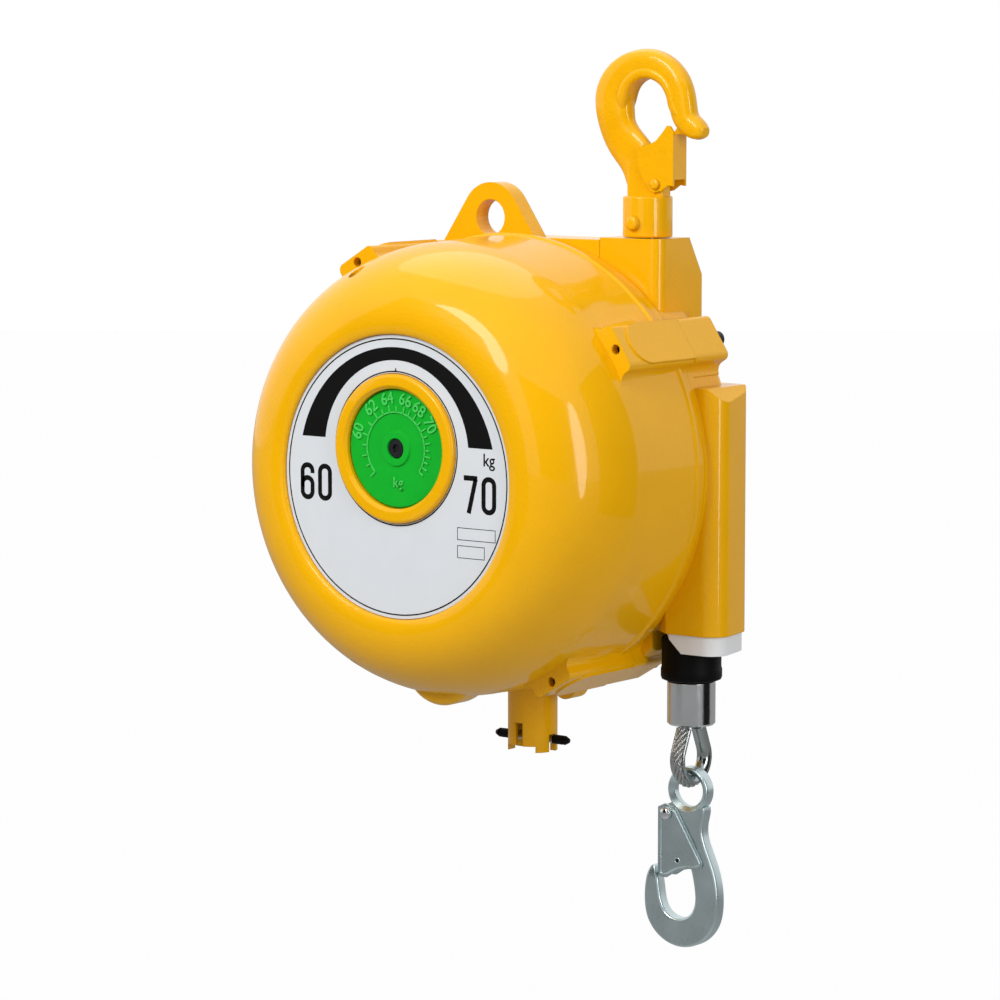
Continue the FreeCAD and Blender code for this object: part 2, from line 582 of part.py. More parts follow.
gear_back = number(gear_far)
gear_radius = s.dial_rise - s.pinion_radius - s.gear_gap
gear = toothed(gear_radius, 20, 1.0, s.gear_thick, gear_back)
stem_shape = disc(s.stem_radius, 0, 0, pit_floor - s.running_gap, gear_back - pit_floor + s.gear_thick)
feature("dial_gear", gear.fuse(stem_shape).removeSplitter(),
        Vector(-s.axis_left, 0, s.dial_rise - s.axis_drop))
screw_back = pit_floor - s.dial_thick + s.dial_socket
cap = disc(s.dial_screw_radius, 0, 0, screw_back - 2, 2 - 0.02)
key = Part.Face(Part.makePolygon([Vector(2.9 * math.cos(math.radians(60 * i)), screw_back - 3,
                                         2.9 * math.sin(math.radians(60 * i))) for i in range(7)]))
feature("dial_screw", cap.cut(key.extrude(Vector(0, 2.4, 0))), Vector(-s.axis_left, 0, s.dial_rise - s.axis_drop))

arbor_front = "(plate_thick - plate_ahead + web_thick - journal_deep + free_gap)"
wheel_front = "(plate_thick - plate_ahead + web_thick + 2 * free_gap + gear_thick + 1.4)"
arbor_rear = "(rear_depth - joint_ahead - case_wall + rear_dome + rear_hub_proud - 5)"
at_axis(turned("spring_arbor", [
    ("0", arbor_front), ("arbor_end_radius", arbor_front), ("arbor_end_radius", wheel_front),
    ("wheel_seat_radius", wheel_front), ("wheel_seat_radius", wheel_front + " + wheel_thick + 0.6"),
    ("arbor_radius", wheel_front + " + wheel_thick + 0.6"),
    ("arbor_radius", "rope_radius + groove_gap + flange_thick + 1"),
    ("wheel_seat_radius", "rope_radius + groove_gap + flange_thick + 1"),
    ("wheel_seat_radius", arbor_rear), ("0", arbor_rear)]))
pinion = toothed(s.pinion_radius, 12, 1.0, s.gear_thick, gear_back, 0.5)
feature("dial_pinion", pinion.cut(disc(s.arbor_end_radius, 0, 0, gear_back - 1, s.gear_thick + 2)), AXIS)
wheel = toothed(s.wheel_radius, int(s.worm_teeth), s.tooth_deep, s.wheel_thick, wheel_back)
holes = [around(disc(6, 24, 0, wheel_back - 1, s.wheel_thick + 2), 60 * i) for i in range(6)]
feature("worm_wheel", wheel.cut([disc(s.wheel_seat_radius, 0, 0, wheel_back - 1, s.wheel_thick + 2)] + holes), AXIS)


# the worm stands beside its wheel; its key end reaches the bottom of the case
def worm():
    """Rod with a ring-threaded worm, the rings stand at the pitch of the wheel's teeth."""
    low = -math.sqrt((s.nose_radius + 25) ** 2 - worm_x ** 2)
    rod = Part.makeCylinder(s.worm_rod_radius, s.worm_long / 2 + s.worm_post + 2 - low, Vector(0, 0, low))
    core = Part.makeCylinder(s.worm_radius - s.tooth_deep, s.worm_long, Vector(0, 0, -s.worm_long / 2))
    pitch = 2 * math.pi * s.wheel_radius / s.worm_teeth
    rings = []
    for i in (-1.5, -0.5, 0.5, 1.5):
        z = i * pitch
        rings.append(Part.makeCone(s.worm_radius - s.tooth_deep - 0.5, s.worm_radius, pitch * 0.3,
                                   Vector(0, 0, z - pitch * 0.4)))
        rings.append(Part.makeCylinder(s.worm_radius, pitch * 0.2, Vector(0, 0, z - pitch * 0.1)))
        rings.append(Part.makeCone(s.worm_radius, s.worm_radius - s.tooth_deep - 0.5, pitch * 0.3,
                                   Vector(0, 0, z + pitch * 0.1)))
    hexagon = Part.makePolygon([Vector(3.2 * math.cos(math.radians(60 * i)),
                                       3.2 * math.sin(math.radians(60 * i)), low - 1) for i in range(7)])
    socket = Part.Face(hexagon).extrude(Vector(0, 0, 9))
    return rod.fuse([core] + rings).cut(socket).removeSplitter()


feature("worm_rod", worm(), AXIS + Vector(worm_x, worm_y, 0))

# ---------------------------------------------------------------- drum and mainspring

rear_flange = s.rope_radius + s.groove_gap + s.flange_thick
front_flange = -(s.turn_count - 1) * s.turn_pitch - rear_flange
last_line = rope_line + (s.turn_count - 1) * s.turn_taper


def rope_drum():
    """Tapered drum: one round-bottomed groove for each turn of rope, larger towards the front."""
    groove = s.rope_radius + s.groove_gap
    items = [(rope_line - groove - s.drum_rim, rear_flange), (rope_line + s.flange_high, rear_flange),
             (rope_line + s.flange_high, groove)]
    for i in range(int(s.turn_count)):
        line, y = rope_line + i * s.turn_taper, -i * s.turn_pitch
        items.append(Part.Arc(Vector(line, y + groove, 0), Vector(line - groove, y, 0),
                              Vector(line, y - groove, 0)).toShape())
    items += [(last_line + s.flange_high, front_flange + s.flange_thick),
              (last_line + s.flange_high, front_flange),
              (rope_line - groove - s.drum_rim, front_flange)]
    rim = spun(*items)
    web_front = rear_flange - s.drum_web
    web = disc(rope_line - groove - s.drum_rim + 1, 0, 0, web_front, s.drum_web)
    hub = disc(s.drum_hub_radius, 0, 0, web_front - s.bearing_wide / 2, s.drum_web + s.bearing_wide / 2)
    seat = disc(s.bearing_radius, 0, 0, rear_flange - s.bearing_wide, s.bearing_wide + 1)
    throat = disc(s.arbor_radius + 1, 0, 0, web_front - s.bearing_wide, 3 * s.bearing_wide)
    windows = [around(disc(16, 72, 0, web_front - 1, s.drum_web + 2), 60 * i + 30) for i in range(6)]
    taps = [around(disc(s.drum_screw_radius, s.barrel_radius - 8, 0, front_flange - 1, 12), 60 * i)
            for i in range(6)]
    notches = [around(Part.makeBox(20, s.flange_thick + 2, 13, Vector(last_line + s.flange_high - 8,
                                                                  front_flange - 1, -6.5)), 45 * i)
               for i in range(8)]
    return rim.fuse([web, hub]).cut([seat, throat] + windows + taps + notches).removeSplitter()


feature("rope_drum", rope_drum(), AXIS)

turns = []
for i in range(1, int(s.turn_count)):
    turn = doc.addObject("Part::Torus", "Turn")
    turn.Placement = Placement(Vector(), Rotation(Vector(1, 0, 0), 90))
    bind(turn, Radius1="axis_left + rope_right + %d * turn_taper" % i, Radius2="rope_radius",
         Base_x="-axis_left", Base_y="-%d * turn_pitch" % i, Base_z="-axis_drop")
    turns.append(turn)
named(group(*turns), "rope_turns")

barrel_back = "-((turn_count - 1) * turn_pitch + rope_radius + groove_gap + flange_thick)"
barrel_front = barrel_back + " - barrel_long"
lip = "(barrel_radius - 16)"
shell = turned(None, [
    ("barrel_radius - barrel_wall", barrel_front), ("barrel_radius", barrel_front),
    ("barrel_radius", barrel_back), (lip, barrel_back), (lip, barrel_back + " - 4"),
    ("barrel_radius - barrel_wall", barrel_back + " - 4")])
shell_holes = []
for i in range(6):
    reach = "(barrel_radius - 8) * %s(60 * %d deg)"
    shell_holes.append(cylinder("drum_screw_radius + free_gap", "10", x=reach % ("cos", i), along="Y",
                                y=barrel_back + " - 7", z=reach % ("sin", i)))
at_axis(named(cut(shell, *shell_holes), "spring_barrel"))
hub_back = barrel_front + " + bearing_wide - cover_thick"
at_axis(turned("barrel_cover", [
    ("arbor_radius + 1", barrel_front + " - cover_thick"), ("barrel_radius", barrel_front + " - cover_thick"),
    ("barrel_radius", barrel_front), ("drum_hub_radius", barrel_front), ("drum_hub_radius", hub_back),
    ("bearing_radius", hub_back), ("bearing_radius", hub_back + " - bearing_wide + 1"),
    ("arbor_radius + 1", hub_back + " - bearing_wide + 1")]))


def bearing(label, back):
    """A plain bearing ring pressed into a hub, running on the arbor."""
    ring = cylinder("bearing_radius", "bearing_wide - 1", y=back, along="Y")
    hole = cylinder("arbor_radius + running_gap", "bearing_wide + 1", y=back + " - 1", along="Y")
    return at_axis(named(cut(ring, hole), label))


bearing("front_bearing", hub_back + " - bearing_wide + 1")
bearing("rear_bearing", "rope_radius + groove_gap + flange_thick - bearing_wide")


def mainspring():
    """Flat spiral strip: the radius grows by one pitch for each turn of an Archimedean spiral."""
    start, end = s.spring_inner, s.barrel_radius - s.barrel_wall - s.spring_strip - 0.4
    count = int((end - start) / s.spring_pitch)
    steps = 12
    middle = barrel_mid - s.spring_width / 2
    bands = []
    for radius_shift in (0, s.spring_strip):
        points = [Vector((start + s.spring_pitch * k / steps + radius_shift) * math.cos(2 * math.pi * k / steps),
                         middle,
                         (start + s.spring_pitch * k / steps + radius_shift) * math.sin(2 * math.pi * k / steps))
                  for k in range(count * steps + 1)]
        curve = Part.BSplineCurve()
        curve.interpolate(points)
        bands.append(curve.toShape())
    ends = [Part.makeLine(bands[0].valueAt(bands[0].FirstParameter), bands[1].valueAt(bands[1].FirstParameter)),
            Part.makeLine(bands[0].valueAt(bands[0].LastParameter), bands[1].valueAt(bands[1].LastParameter))]
    wire = Part.Wire([bands[0], ends[1], bands[1], ends[0]])
    strip = Part.Face(wire).extrude(Vector(0, s.spring_width, 0))
    return strip.reversed() if strip.Volume < 0 else strip


barrel_mid = number("(%s + %s) / 2" % (barrel_back, barrel_front))
feature("mainspring", mainspring(), AXIS)
bolts = []
for i in range(6):
    shank = disc(s.drum_screw_radius, s.barrel_radius - 8, 0, front_flange - 8, 18)
    head = disc(s.drum_screw_radius + 2, s.barrel_radius - 8, 0, front_flange - 8, 4)
    bolts.append(around(shank.fuse(head).removeSplitter(), 60 * i))
feature("barrel_screws", Part.makeCompound(bolts), AXIS)

# ---------------------------------------------------------------- drum lock

lock_y = "-lock_ahead"
tube_top = -s.axis_drop - s.case_radius - 4


def lock_tube():
    """Tube under the case: deep slots front and back, shallow notches left and right."""
    y, low = -s.lock_ahead, -s.lock_bottom
    outer = Part.makeCylinder(s.lock_radius, tube_top - low, Vector(0, y, low))
    inner = Part.makeCylinder(s.lock_radius - s.lock_wall, tube_top - low - 4, Vector(0, y, low - 0.01))
    way = Part.makeCylinder(s.plunger_radius + s.slide_gap, 20, Vector(0, y, tube_top - 10))
    half = s.lock_slot_wide / 2
    deep = Part.makeBox(2 * half, 3 * s.lock_radius, s.lock_slot_high,
                        Vector(-half, y - 1.5 * s.lock_radius, low))
    notch = Part.makeBox(3 * s.lock_radius, 2 * half, s.lock_notch_high,
                         Vector(-1.5 * s.lock_radius, y - half, low))
    tube = outer.cut([inner, way, deep, notch])
    # the rim stands lower beside the notches only, where it guides the bar
    span = 0.68 * s.lock_radius
    trim = Part.makeBox(2 * span, 3 * s.lock_radius, s.lock_rim_cut, Vector(-span, y - 1.5 * s.lock_radius, low))
    return tube.cut(trim)


feature("lock_tube", lock_tube(), Vector(-s.axis_left, 0, 0))
plunger_low = -s.lock_bottom + s.lock_notch_high - 2 * s.bar_radius - 2.2
plunger_top = -s.axis_drop - last_line - s.flange_high - 1


def lock_plunger():
    """Stepped pin with a forward dog that enters a notch of the drum's front flange."""
    y = -s.lock_ahead
    rod = Part.makeCylinder(s.plunger_radius, plunger_top - plunger_low, Vector(0, y, plunger_low))
    dog_front = joint + s.free_gap
    dog = Part.makeBox(s.dog_wide, y - dog_front, s.dog_high, Vector(-s.dog_wide / 2, dog_front,
                                                                     plunger_top - s.dog_high))
    hole = Part.makeCylinder(s.bar_radius, 60, Vector(-30, y, plunger_low + s.bar_radius + 2), Vector(1, 0, 0))
    return rod.fuse(dog).cut(hole).removeSplitter()


feature("lock_plunger", lock_plunger(), Vector(-s.axis_left, 0, 0))
bar_z = "lock_notch_high - lock_bottom - bar_radius - 0.2"
named(cylinder("bar_radius", "2 * bar_half", x="-axis_left - bar_half", y=lock_y, z=bar_z, along="X"), "lock_bar")
bar_height = number(bar_z)


def bar_cap(end):
    """Rubber cap over one end of the bar: a sleeve with a neck and a blunt tip."""
    radius, outward = s.bar_cap_radius, Vector(end, 0, 0)
    tip_x = s.bar_half + s.bar_cap_over
    start = Vector(end * (tip_x - s.bar_cap_long), -s.lock_ahead, bar_height)
    neck = start + outward * (s.bar_cap_long - s.bar_cap_tip)
    sleeve = Part.makeCylinder(radius, s.bar_cap_long - s.bar_cap_tip, start, outward)
    tip = Part.makeCone(radius, radius / 2, s.bar_cap_tip, neck, outward)
    groove = Part.makeTorus(radius, s.bar_cap_neck, neck - outward * s.bar_cap_neck, outward)
    core = Part.makeCylinder(s.bar_radius, 2 * s.bar_half, Vector(-s.bar_half, -s.lock_ahead, bar_height),
                             Vector(1, 0, 0))
    return sleeve.fuse(tip).cut([groove, core]).removeSplitter()


feature("lock_bar_caps", Part.makeCompound([bar_cap(-1), bar_cap(1)]), Vector(-s.axis_left, 0, 0))

# ---------------------------------------------------------------- upper hook and its swivel


def across_of(tangent):
    """The direction in the XZ plane that is square to a tangent (x, z)."""
    return Vector(0, 1, 0).cross(Vector(tangent[0], 0, tangent[1]).normalize())


def oval(place, across, half_wide, half_thick):
    """A closed oval section of a round forging."""
    points = []
    for i in range(12):
        angle = math.radians(30 * i)
        u, v = math.cos(angle), math.sin(angle)
        # fuller than an ellipse, as a drop forging is
        full = (abs(u) ** 2.5 + abs(v) ** 2.5) ** (-1 / 2.5)
        points.append(Vector(place[0], 0, place[1]) + across * (u * full * half_wide)
                      + Vector(0, v * full * half_thick, 0))
    curve = Part.BSplineCurve()
    curve.interpolate(points, PeriodicFlag=True)
    return Part.Wire(curve.toShape())


def slab(place, across, half_wide, half_thick):
    """A closed section of a flat forging: a rectangle with rounded corners."""
    middle, up = Vector(place[0], 0, place[1]), Vector(0, 1, 0)
    corner = min(s.load_edge, 0.6 * half_wide, 0.6 * half_thick)
    edges, last = [], None
    for u, v in ((1, -1), (1, 1), (-1, 1), (-1, -1)):
        heart = middle + across * (u * (half_wide - corner)) + up * (v * (half_thick - corner))
        sides = [across * u * corner, up * v * corner]
        if u * v < 0:
            sides.reverse()
        arc = Part.Arc(heart + sides[0], heart + (sides[0] + sides[1]) * math.sqrt(0.5), heart + sides[1])
        if last is not None:
            edges.append(Part.makeLine(last, heart + sides[0]))
        edges.append(arc.toShape())
        last = heart + sides[1]
    edges.append(Part.makeLine(last, edges[0].firstVertex().Point))
    return Part.Wire(edges)


def forged(stations, section):
    """A solid lofted through stations (x, z, half width, half thickness) along a bent centre line."""
    rings = []
    for i, (x, z, wide, thick) in enumerate(stations):
        before, after = stations[max(i - 1, 0)], stations[min(i + 1, len(stations) - 1)]
        across = across_of((after[0] - before[0], after[1] - before[1]))
        rings.append(section((x, z), across, wide, thick))
    return Part.makeLoft(rings, True, False)


def bowl(degrees, inner, width, half_thick):
    """A station on the round part of the upper hook, at an angle about its bore."""
    reach = inner + width / 2
    return (s.hook_shift + reach * math.cos(math.radians(degrees)),
            -s.hook_bore + reach * math.sin(math.radians(degrees)), width / 2, half_thick)


def upper_hook():
    """Forged hook: neck, thick back, crown round the bore, and a tip turned outwards."""
    half = s.hook_thick / 2
    stations = [
        (0, -62, 13.2, s.neck_thick / 2), (-6.5, -52, 13.3, s.neck_thick / 2),
        (-15.2, -41, 13.2, s.neck_thick / 2), (-22, -31, 12.4, half - 1),
        bowl(196, s.hook_bore - 1, 2 * s.hook_back - 1.5, half),
        bowl(170, s.hook_bore - 1.4, 2 * s.hook_back - 0.5, half),
        bowl(140, s.hook_bore - 0.8, 23.5, half), bowl(112, s.hook_bore - 0.2, 20, half - 0.2),
        bowl(84, s.hook_bore, 2 * s.hook_crown, half - 0.5),
        bowl(56, s.hook_bore + 0.1, 17.8, half - 0.8), bowl(28, s.hook_bore + 0.4, 2 * s.hook_front, half - 1),
        bowl(2, s.hook_bore + 0.9, 2 * s.hook_front, half - 1), (29.2, -24.5, 8, half - 1),
        (34.6, -29.3, 7.2, half - 1.4), (40, -31.8, 5.6, half - 2), (43.6, -32.7, 3, half - 4.5)]
    body = forged(stations, oval)
    neck = Part.makeBox(s.neck_left + s.neck_right, s.neck_thick, s.collar_top - s.neck_top,
                        Vector(-s.neck_left, -s.neck_thick / 2, -s.collar_top))
    neck = neck.makeFillet(2.4, edges_along(neck, Vector(0, 0, 1), lambda p: True))
    height = s.block_top - s.collar_gap - s.collar_top
    collar = Part.makeCylinder(s.collar_radius, height, Vector(0, 0, -s.block_top + s.collar_gap))
    collar = collar.makeFillet(1.2, [e for e in collar.Edges if e.Curve.TypeId == "Part::GeomCircle"])
    socket = Part.makeCylinder(s.bolt_radius, s.block_top - s.collar_top - 2, Vector(0, 0, -s.block_top))
    cross = disc(s.pin_radius, 0, -s.pin_drop, -30, 60)
    rivet = disc(s.latch_rivet_radius, s.latch_pivot_right, -s.latch_pivot_drop, -30, 60)
    return body.fuse([neck, collar]).cut([socket, cross, rivet]).removeSplitter()


feature("upper_hook", upper_hook())
doc.recompute()

bolt_top = "-collar_top - 2"
bolt_long = "block_top + pocket_drop + washer_thick + nut_high + 6 - collar_top - 2"
shank = cylinder("bolt_radius", bolt_long, z="-collar_top - 2 - (%s)" % bolt_long)
cross_hole = cylinder("pin_radius", "4 * bolt_radius", y="-2 * bolt_radius", z="-pin_drop", along="Y")
named(cut(shank, cross_hole), "swivel_bolt")
half_pin = "collar_radius + pin_head_high"
named(cylinder("pin_radius", "2 * (%s)" % half_pin, y="-(%s)" % half_pin, z="-pin_drop", along="Y"),
      "swivel_cross_pin")
washer_z = "-block_top - pocket_drop - washer_thick - free_gap"
named(cut(cylinder("washer_radius", "washer_thick", z=washer_z),
          cylinder("bolt_radius", "washer_thick + 2", z=washer_z + " - 1")), "thrust_washer")


def hexagon(radius, high, base):
    """A hexagonal prism standing on base, its flats square to X."""
    corners = [base + Vector(radius * math.cos(math.radians(60 * i)), radius * math.sin(math.radians(60 * i)), 0)
               for i in range(7)]
    return Part.Face(Part.makePolygon(corners)).extrude(Vector(0, 0, high))


nut_z = number(washer_z) - s.nut_high
nut = hexagon(s.nut_radius, s.nut_high, Vector(0, 0, nut_z))
nut = nut.common(Part.makeCone(s.nut_radius - 1.6, s.nut_radius + s.nut_high, s.nut_high + 1.6, Vector(0, 0, nut_z)))
feature("swivel_nut", nut.cut(Part.makeCylinder(s.bolt_radius, 40, Vector(0, 0, nut_z - 10))))


def latch_sheet(outline, gauge, half, lie, web):
    """A folded latch: two equal side plates joined by a web along their outer edge."""
    left = plate(outline, -half, gauge)
    right = plate(outline, half - gauge, gauge)
    x_low, x_high, z_low, z_high = web
    fold = Part.makeBox(x_high - x_low, 2 * half, z_high - z_low, Vector(x_low, -half, z_low))
    x, z, radius = lie
    hole = disc(radius, x, z, -half - 1, 2 * half + 2)
    return left.fuse([right, fold]).cut(hole).removeSplitter()


latch_outline = [(-3.1, -44.6), (-1.6, -41.6), (7, -39.8), (10.9, -37.9), (16.1, -32.5), (19.2, -28.5),
                 (21.5, -28.8), (24.1, -32.5), (24.1, -66), (20.2, -65.5), (15.1, -69), (8.8, -70.3),
                 (4.7, -67.6), (1.5, -62.8), (-3.1, -54.6)]
lie = (s.latch_pivot_right, -s.latch_pivot_drop, s.latch_rivet_radius + s.running_gap)
feature("hook_latch", latch_sheet(latch_outline, s.latch_gauge, s.latch_half, lie,
                                  (24.1 - s.latch_gauge, 24.1, -62, -34)))
rivet_half = "latch_half + free_gap"
shaft = cylinder("latch_rivet_radius", "2 * (%s)" % rivet_half, x="latch_pivot_right", y="-(%s)" % rivet_half,
                 z="-latch_pivot_drop", along="Y")
heads = [cylinder("latch_rivet_head", "latch_rivet_high", x="latch_pivot_right", y=y, z="-latch_pivot_drop",
                  along="Y") for y in ("-(%s) - latch_rivet_high" % rivet_half, rivet_half)]
named(fuse(shaft, *heads), "hook_latch_rivet")

# ---------------------------------------------------------------- rope end: stop, ferrule, eye, thimble

rope_x = "rope_right"
named(cylinder("rope_radius", "stop_bottom - axis_drop", x=rope_x, z="-stop_bottom"), "rope_fall")
stop = turned("rope_stop", [
    ("rope_radius", "-stop_bottom"), ("stop_radius - 2.2", "-stop_bottom"),
    ("stop_radius - 0.6", "0.7 - stop_bottom"), ("stop_radius", "2.4 - stop_bottom"),
    ("stop_radius", "stop_lip_high - stop_bottom"),
    ("stop_radius - stop_lip", "stop_lip_high + 1.5 - stop_bottom"), ("stop_radius - stop_lip", "-stop_top - 2.5"),
    ("stop_radius - stop_lip - 2.5", "-stop_top"), ("rope_radius", "-stop_top")], vertical=True)
bind(stop, Base_x=rope_x)
ferrule = turned("rope_ferrule", [
    ("0", "-ferrule_bottom"), ("ferrule_radius - 1.2", "-ferrule_bottom"),
    ("ferrule_radius", "1.2 - ferrule_bottom"), ("ferrule_radius", "-stop_bottom - 1.2"),
    ("ferrule_radius - 1.2", "-stop_bottom"), ("0", "-stop_bottom")], vertical=True)
bind(ferrule, Base_x=rope_x)


def eye_route(radius, x):
    """The rope eye's centre line in the YZ plane: an arc at the bottom and a tangent leg each side."""
    centre = -s.eye_drop + radius
    rise = -s.ferrule_bottom - centre
    reach = math.hypot(rise, s.eye_leg_apart)
    lean = math.acos(radius / reach)
    start = math.atan2(rise, s.eye_leg_apart) - lean
    touch = [(radius * math.cos(start), centre + radius * math.sin(start))]
    touch.append((-touch[0][0], touch[0][1]))
    arc = Part.Arc(Vector(x, touch[0][0], touch[0][1]), Vector(x, 0, centre - radius),
                   Vector(x, touch[1][0], touch[1][1])).toShape()
    # each leg starts a little inside the ferrule, where it is trimmed
    lead = (Vector(x, s.eye_leg_apart, -s.ferrule_bottom) - Vector(x, *touch[0])).normalize() * 2
    top = Vector(x, s.eye_leg_apart, -s.ferrule_bottom) + lead
    legs = [Part.makeLine(top, Vector(x, *touch[0])), Part.makeLine(Vector(x, *touch[1]), Vector(x, -top.y, top.z))]
    return Part.Wire([legs[0], arc, legs[1]])


def rope_eye():
    """The rope's loop round the thimble."""
    route = eye_route(s.eye_radius, s.rope_right)
    tubes = []
    for edge in route.Edges:
        start = edge.FirstParameter
        ring = Part.makeCircle(s.rope_radius, edge.valueAt(start), edge.tangentAt(start))
        tubes.append(Part.Wire([edge]).makePipeShell([Part.Wire(ring)], True, False))
    loop = tubes[0].fuse(tubes[1:])
    below = Part.makeBox(60, 80, 60, Vector(s.rope_right - 30, -40, -s.ferrule_bottom - 60))
    return loop.common(below).removeSplitter()


feature("rope_eye", rope_eye())


def thimble():
    """A grooved liner inside the eye: a hollow-backed ring that the rope lies round."""
    x = s.rope_right
    centre = -s.eye_drop + s.eye_radius
    inner = s.eye_radius - s.rope_radius - s.thimble_wall
    wide = s.rope_radius + s.thimble_wall
    # section in (radius from the eye's centre, x): a channel open outwards
    lip = s.eye_radius + 0.4
    outer_arc = Part.Arc(Vector(lip, -wide, 0), Vector(inner, 0, 0), Vector(lip, wide, 0)).toShape()
    gap = s.rope_radius + 0.05
    inner_arc = Part.Arc(Vector(lip, gap, 0), Vector(s.eye_radius - gap, 0, 0), Vector(lip, -gap, 0)).toShape()
    face = Part.Face(path(outer_arc, inner_arc))
    swept = face.revolve(Vector(), Vector(0, 1, 0), 360)
    # revolve ran about Y: turn it so that the ring lies in the YZ plane
    swept.rotate(Vector(), Vector(0, 0, 1), 90)
    swept.translate(Vector(x, 0, centre))
    crown = centre + s.eye_radius * 0.35
    lower = swept.common(Part.makeBox(40, 80, 80, Vector(x - 20, -40, crown - 80)))
    return lower.removeSplitter()


feature("thimble", thimble())

# ---------------------------------------------------------------- load hook

EYE = Vector(s.rope_right, 0, -s.eye_drop - s.load_eye_drop)


def load_hook():
    """Flat forged hook drawn about its eye: back on the right, bowl below, tip turned up on the left."""
    half = s.load_thick / 2
    bowl_x, bowl_z = -s.load_bowl_left, -s.load_bowl_drop
    throat_x, throat_z = bowl_x - s.load_throat_left, bowl_z + s.load_throat_rise

    def bowl_station(degrees):
        """The section between the bowl's outer circle and the throat's circle at one angle."""
        c, n = math.cos(math.radians(degrees)), math.sin(math.radians(degrees))
        outer = (bowl_x + s.load_bowl_radius * c, bowl_z + s.load_bowl_radius * n)
        inner = (throat_x + s.load_throat * c, throat_z + s.load_throat * n)
        wide = math.hypot(outer[0] - inner[0], outer[1] - inner[1]) / 2
        return (outer[0] + inner[0]) / 2, (outer[1] + inner[1]) / 2, wide, half

    back = [(0.2, -11, 12.6, half), (1.2, -22, 10.6, half), (4.4, -32.5, 8, half), (8.6, -42.5, 7.8, half),
            (12.2, -52.5, 8.3, half), (14.2, -62, 8.5, half)]
    tip = [(-27, -61, 4.8, half), (-26.9, -54.6, 3.3, half - 0.5), (-26.6, -51.2, 1.4, half - 1.6)]
    stations = back + [bowl_station(a) for a in (0, -30, -60, -90, -120, -150, -180)] + tip
    body = forged(stations, slab)
    eye = disc(s.load_eye_radius, 0, 0, -half, s.load_thick)
    eye = eye.makeFillet(s.load_edge, [e for e in eye.Edges if e.Curve.TypeId == "Part::GeomCircle"])
    # ear of the latch, a lug on the left of the neck
    ear_x, ear_z = -s.load_latch_left, -s.load_latch_drop
    ear = disc(s.load_ear_radius, ear_x, ear_z, -half, s.load_thick)
    root = plate([(ear_x, ear_z + s.load_ear_radius), (ear_x + 8, ear_z + s.load_ear_radius + 5),
                  (ear_x + 10, ear_z - 12), (ear_x - 1.5, ear_z - s.load_ear_radius + 0.3)], -half, s.load_thick)
    hole = disc(s.load_eye_bore, 0, 0, -20, 40)
    rivet = disc(s.load_rivet_radius, ear_x, ear_z, -20, 40)
    # the bore flares towards both faces, so that it rides on the thimble
    flare = [Part.makeCone(s.load_eye_bore, s.load_eye_bore + 3, 2.5, Vector(0, side * (half - 2.5), 0),
                           Vector(0, side, 0)) for side in (1, -1)]
    return body.fuse([eye, ear, root]).cut([hole, rivet] + flare).removeSplitter()


feature("load_hook", load_hook(), EYE)
load_outline = [(-20.9, -12.2), (-15.7, -9.6), (-10.2, -11.2), (-7, -12), (12.9, -44.5), (12.3, -47.4),
                (8.6, -49.2), (2.5, -49.6), (-7, -52.2), (-14.3, -57), (-19.2, -57.2)]
load_lie = (-s.load_latch_left, -s.load_latch_drop, s.load_rivet_radius + s.running_gap)
feature("load_latch", latch_sheet(load_outline, s.load_latch_gauge, s.load_latch_half, load_lie,
                                  (-20.9, -20.9 + s.load_latch_gauge, -54.2, -12.2)), EYE)
load_x, load_z = "rope_right - load_latch_left", "-eye_drop - load_eye_drop - load_latch_drop"
load_half = "load_latch_half + free_gap / 2"
load_shaft = cylinder("load_rivet_radius", "2 * (%s)" % load_half, x=load_x, y="-(%s)" % load_half, z=load_z,
                      along="Y")
load_heads = [cylinder("load_rivet_head", "latch_rivet_high", x=load_x, y=y, z=load_z, along="Y")
              for y in ("-(%s) - latch_rivet_high" % load_half, load_half)]
named(fuse(load_shaft, *load_heads), "load_latch_rivet")

# ---------------------------------------------------------------- check and write

doc.recompute()
faults = [item.Name for item in doc.Objects if "Invalid" in item.State or "Error" in item.State]
faults += [item.Label for item in parts if item.Shape.isNull() or not item.Shape.isValid()]
if faults:
    raise RuntimeError("objects that did not build: %s" % ", ".join(faults))
os.makedirs("parts", exist_ok=True)
for item in parts:
    item.Shape.exportStep("parts/%s.step" % item.Label)
    print("%-18s %3d solids %10.0f mm3" % (item.Label, len(item.Shape.Solids), item.Shape.Volume))
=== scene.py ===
"""Finish and small detail for a spring balancer, built round its packed construction."""
import math

import bmesh
import bpy
import numpy as np
from bpy.props import FloatProperty, FloatVectorProperty, IntProperty, PointerProperty
from mathutils import Matrix, Vector


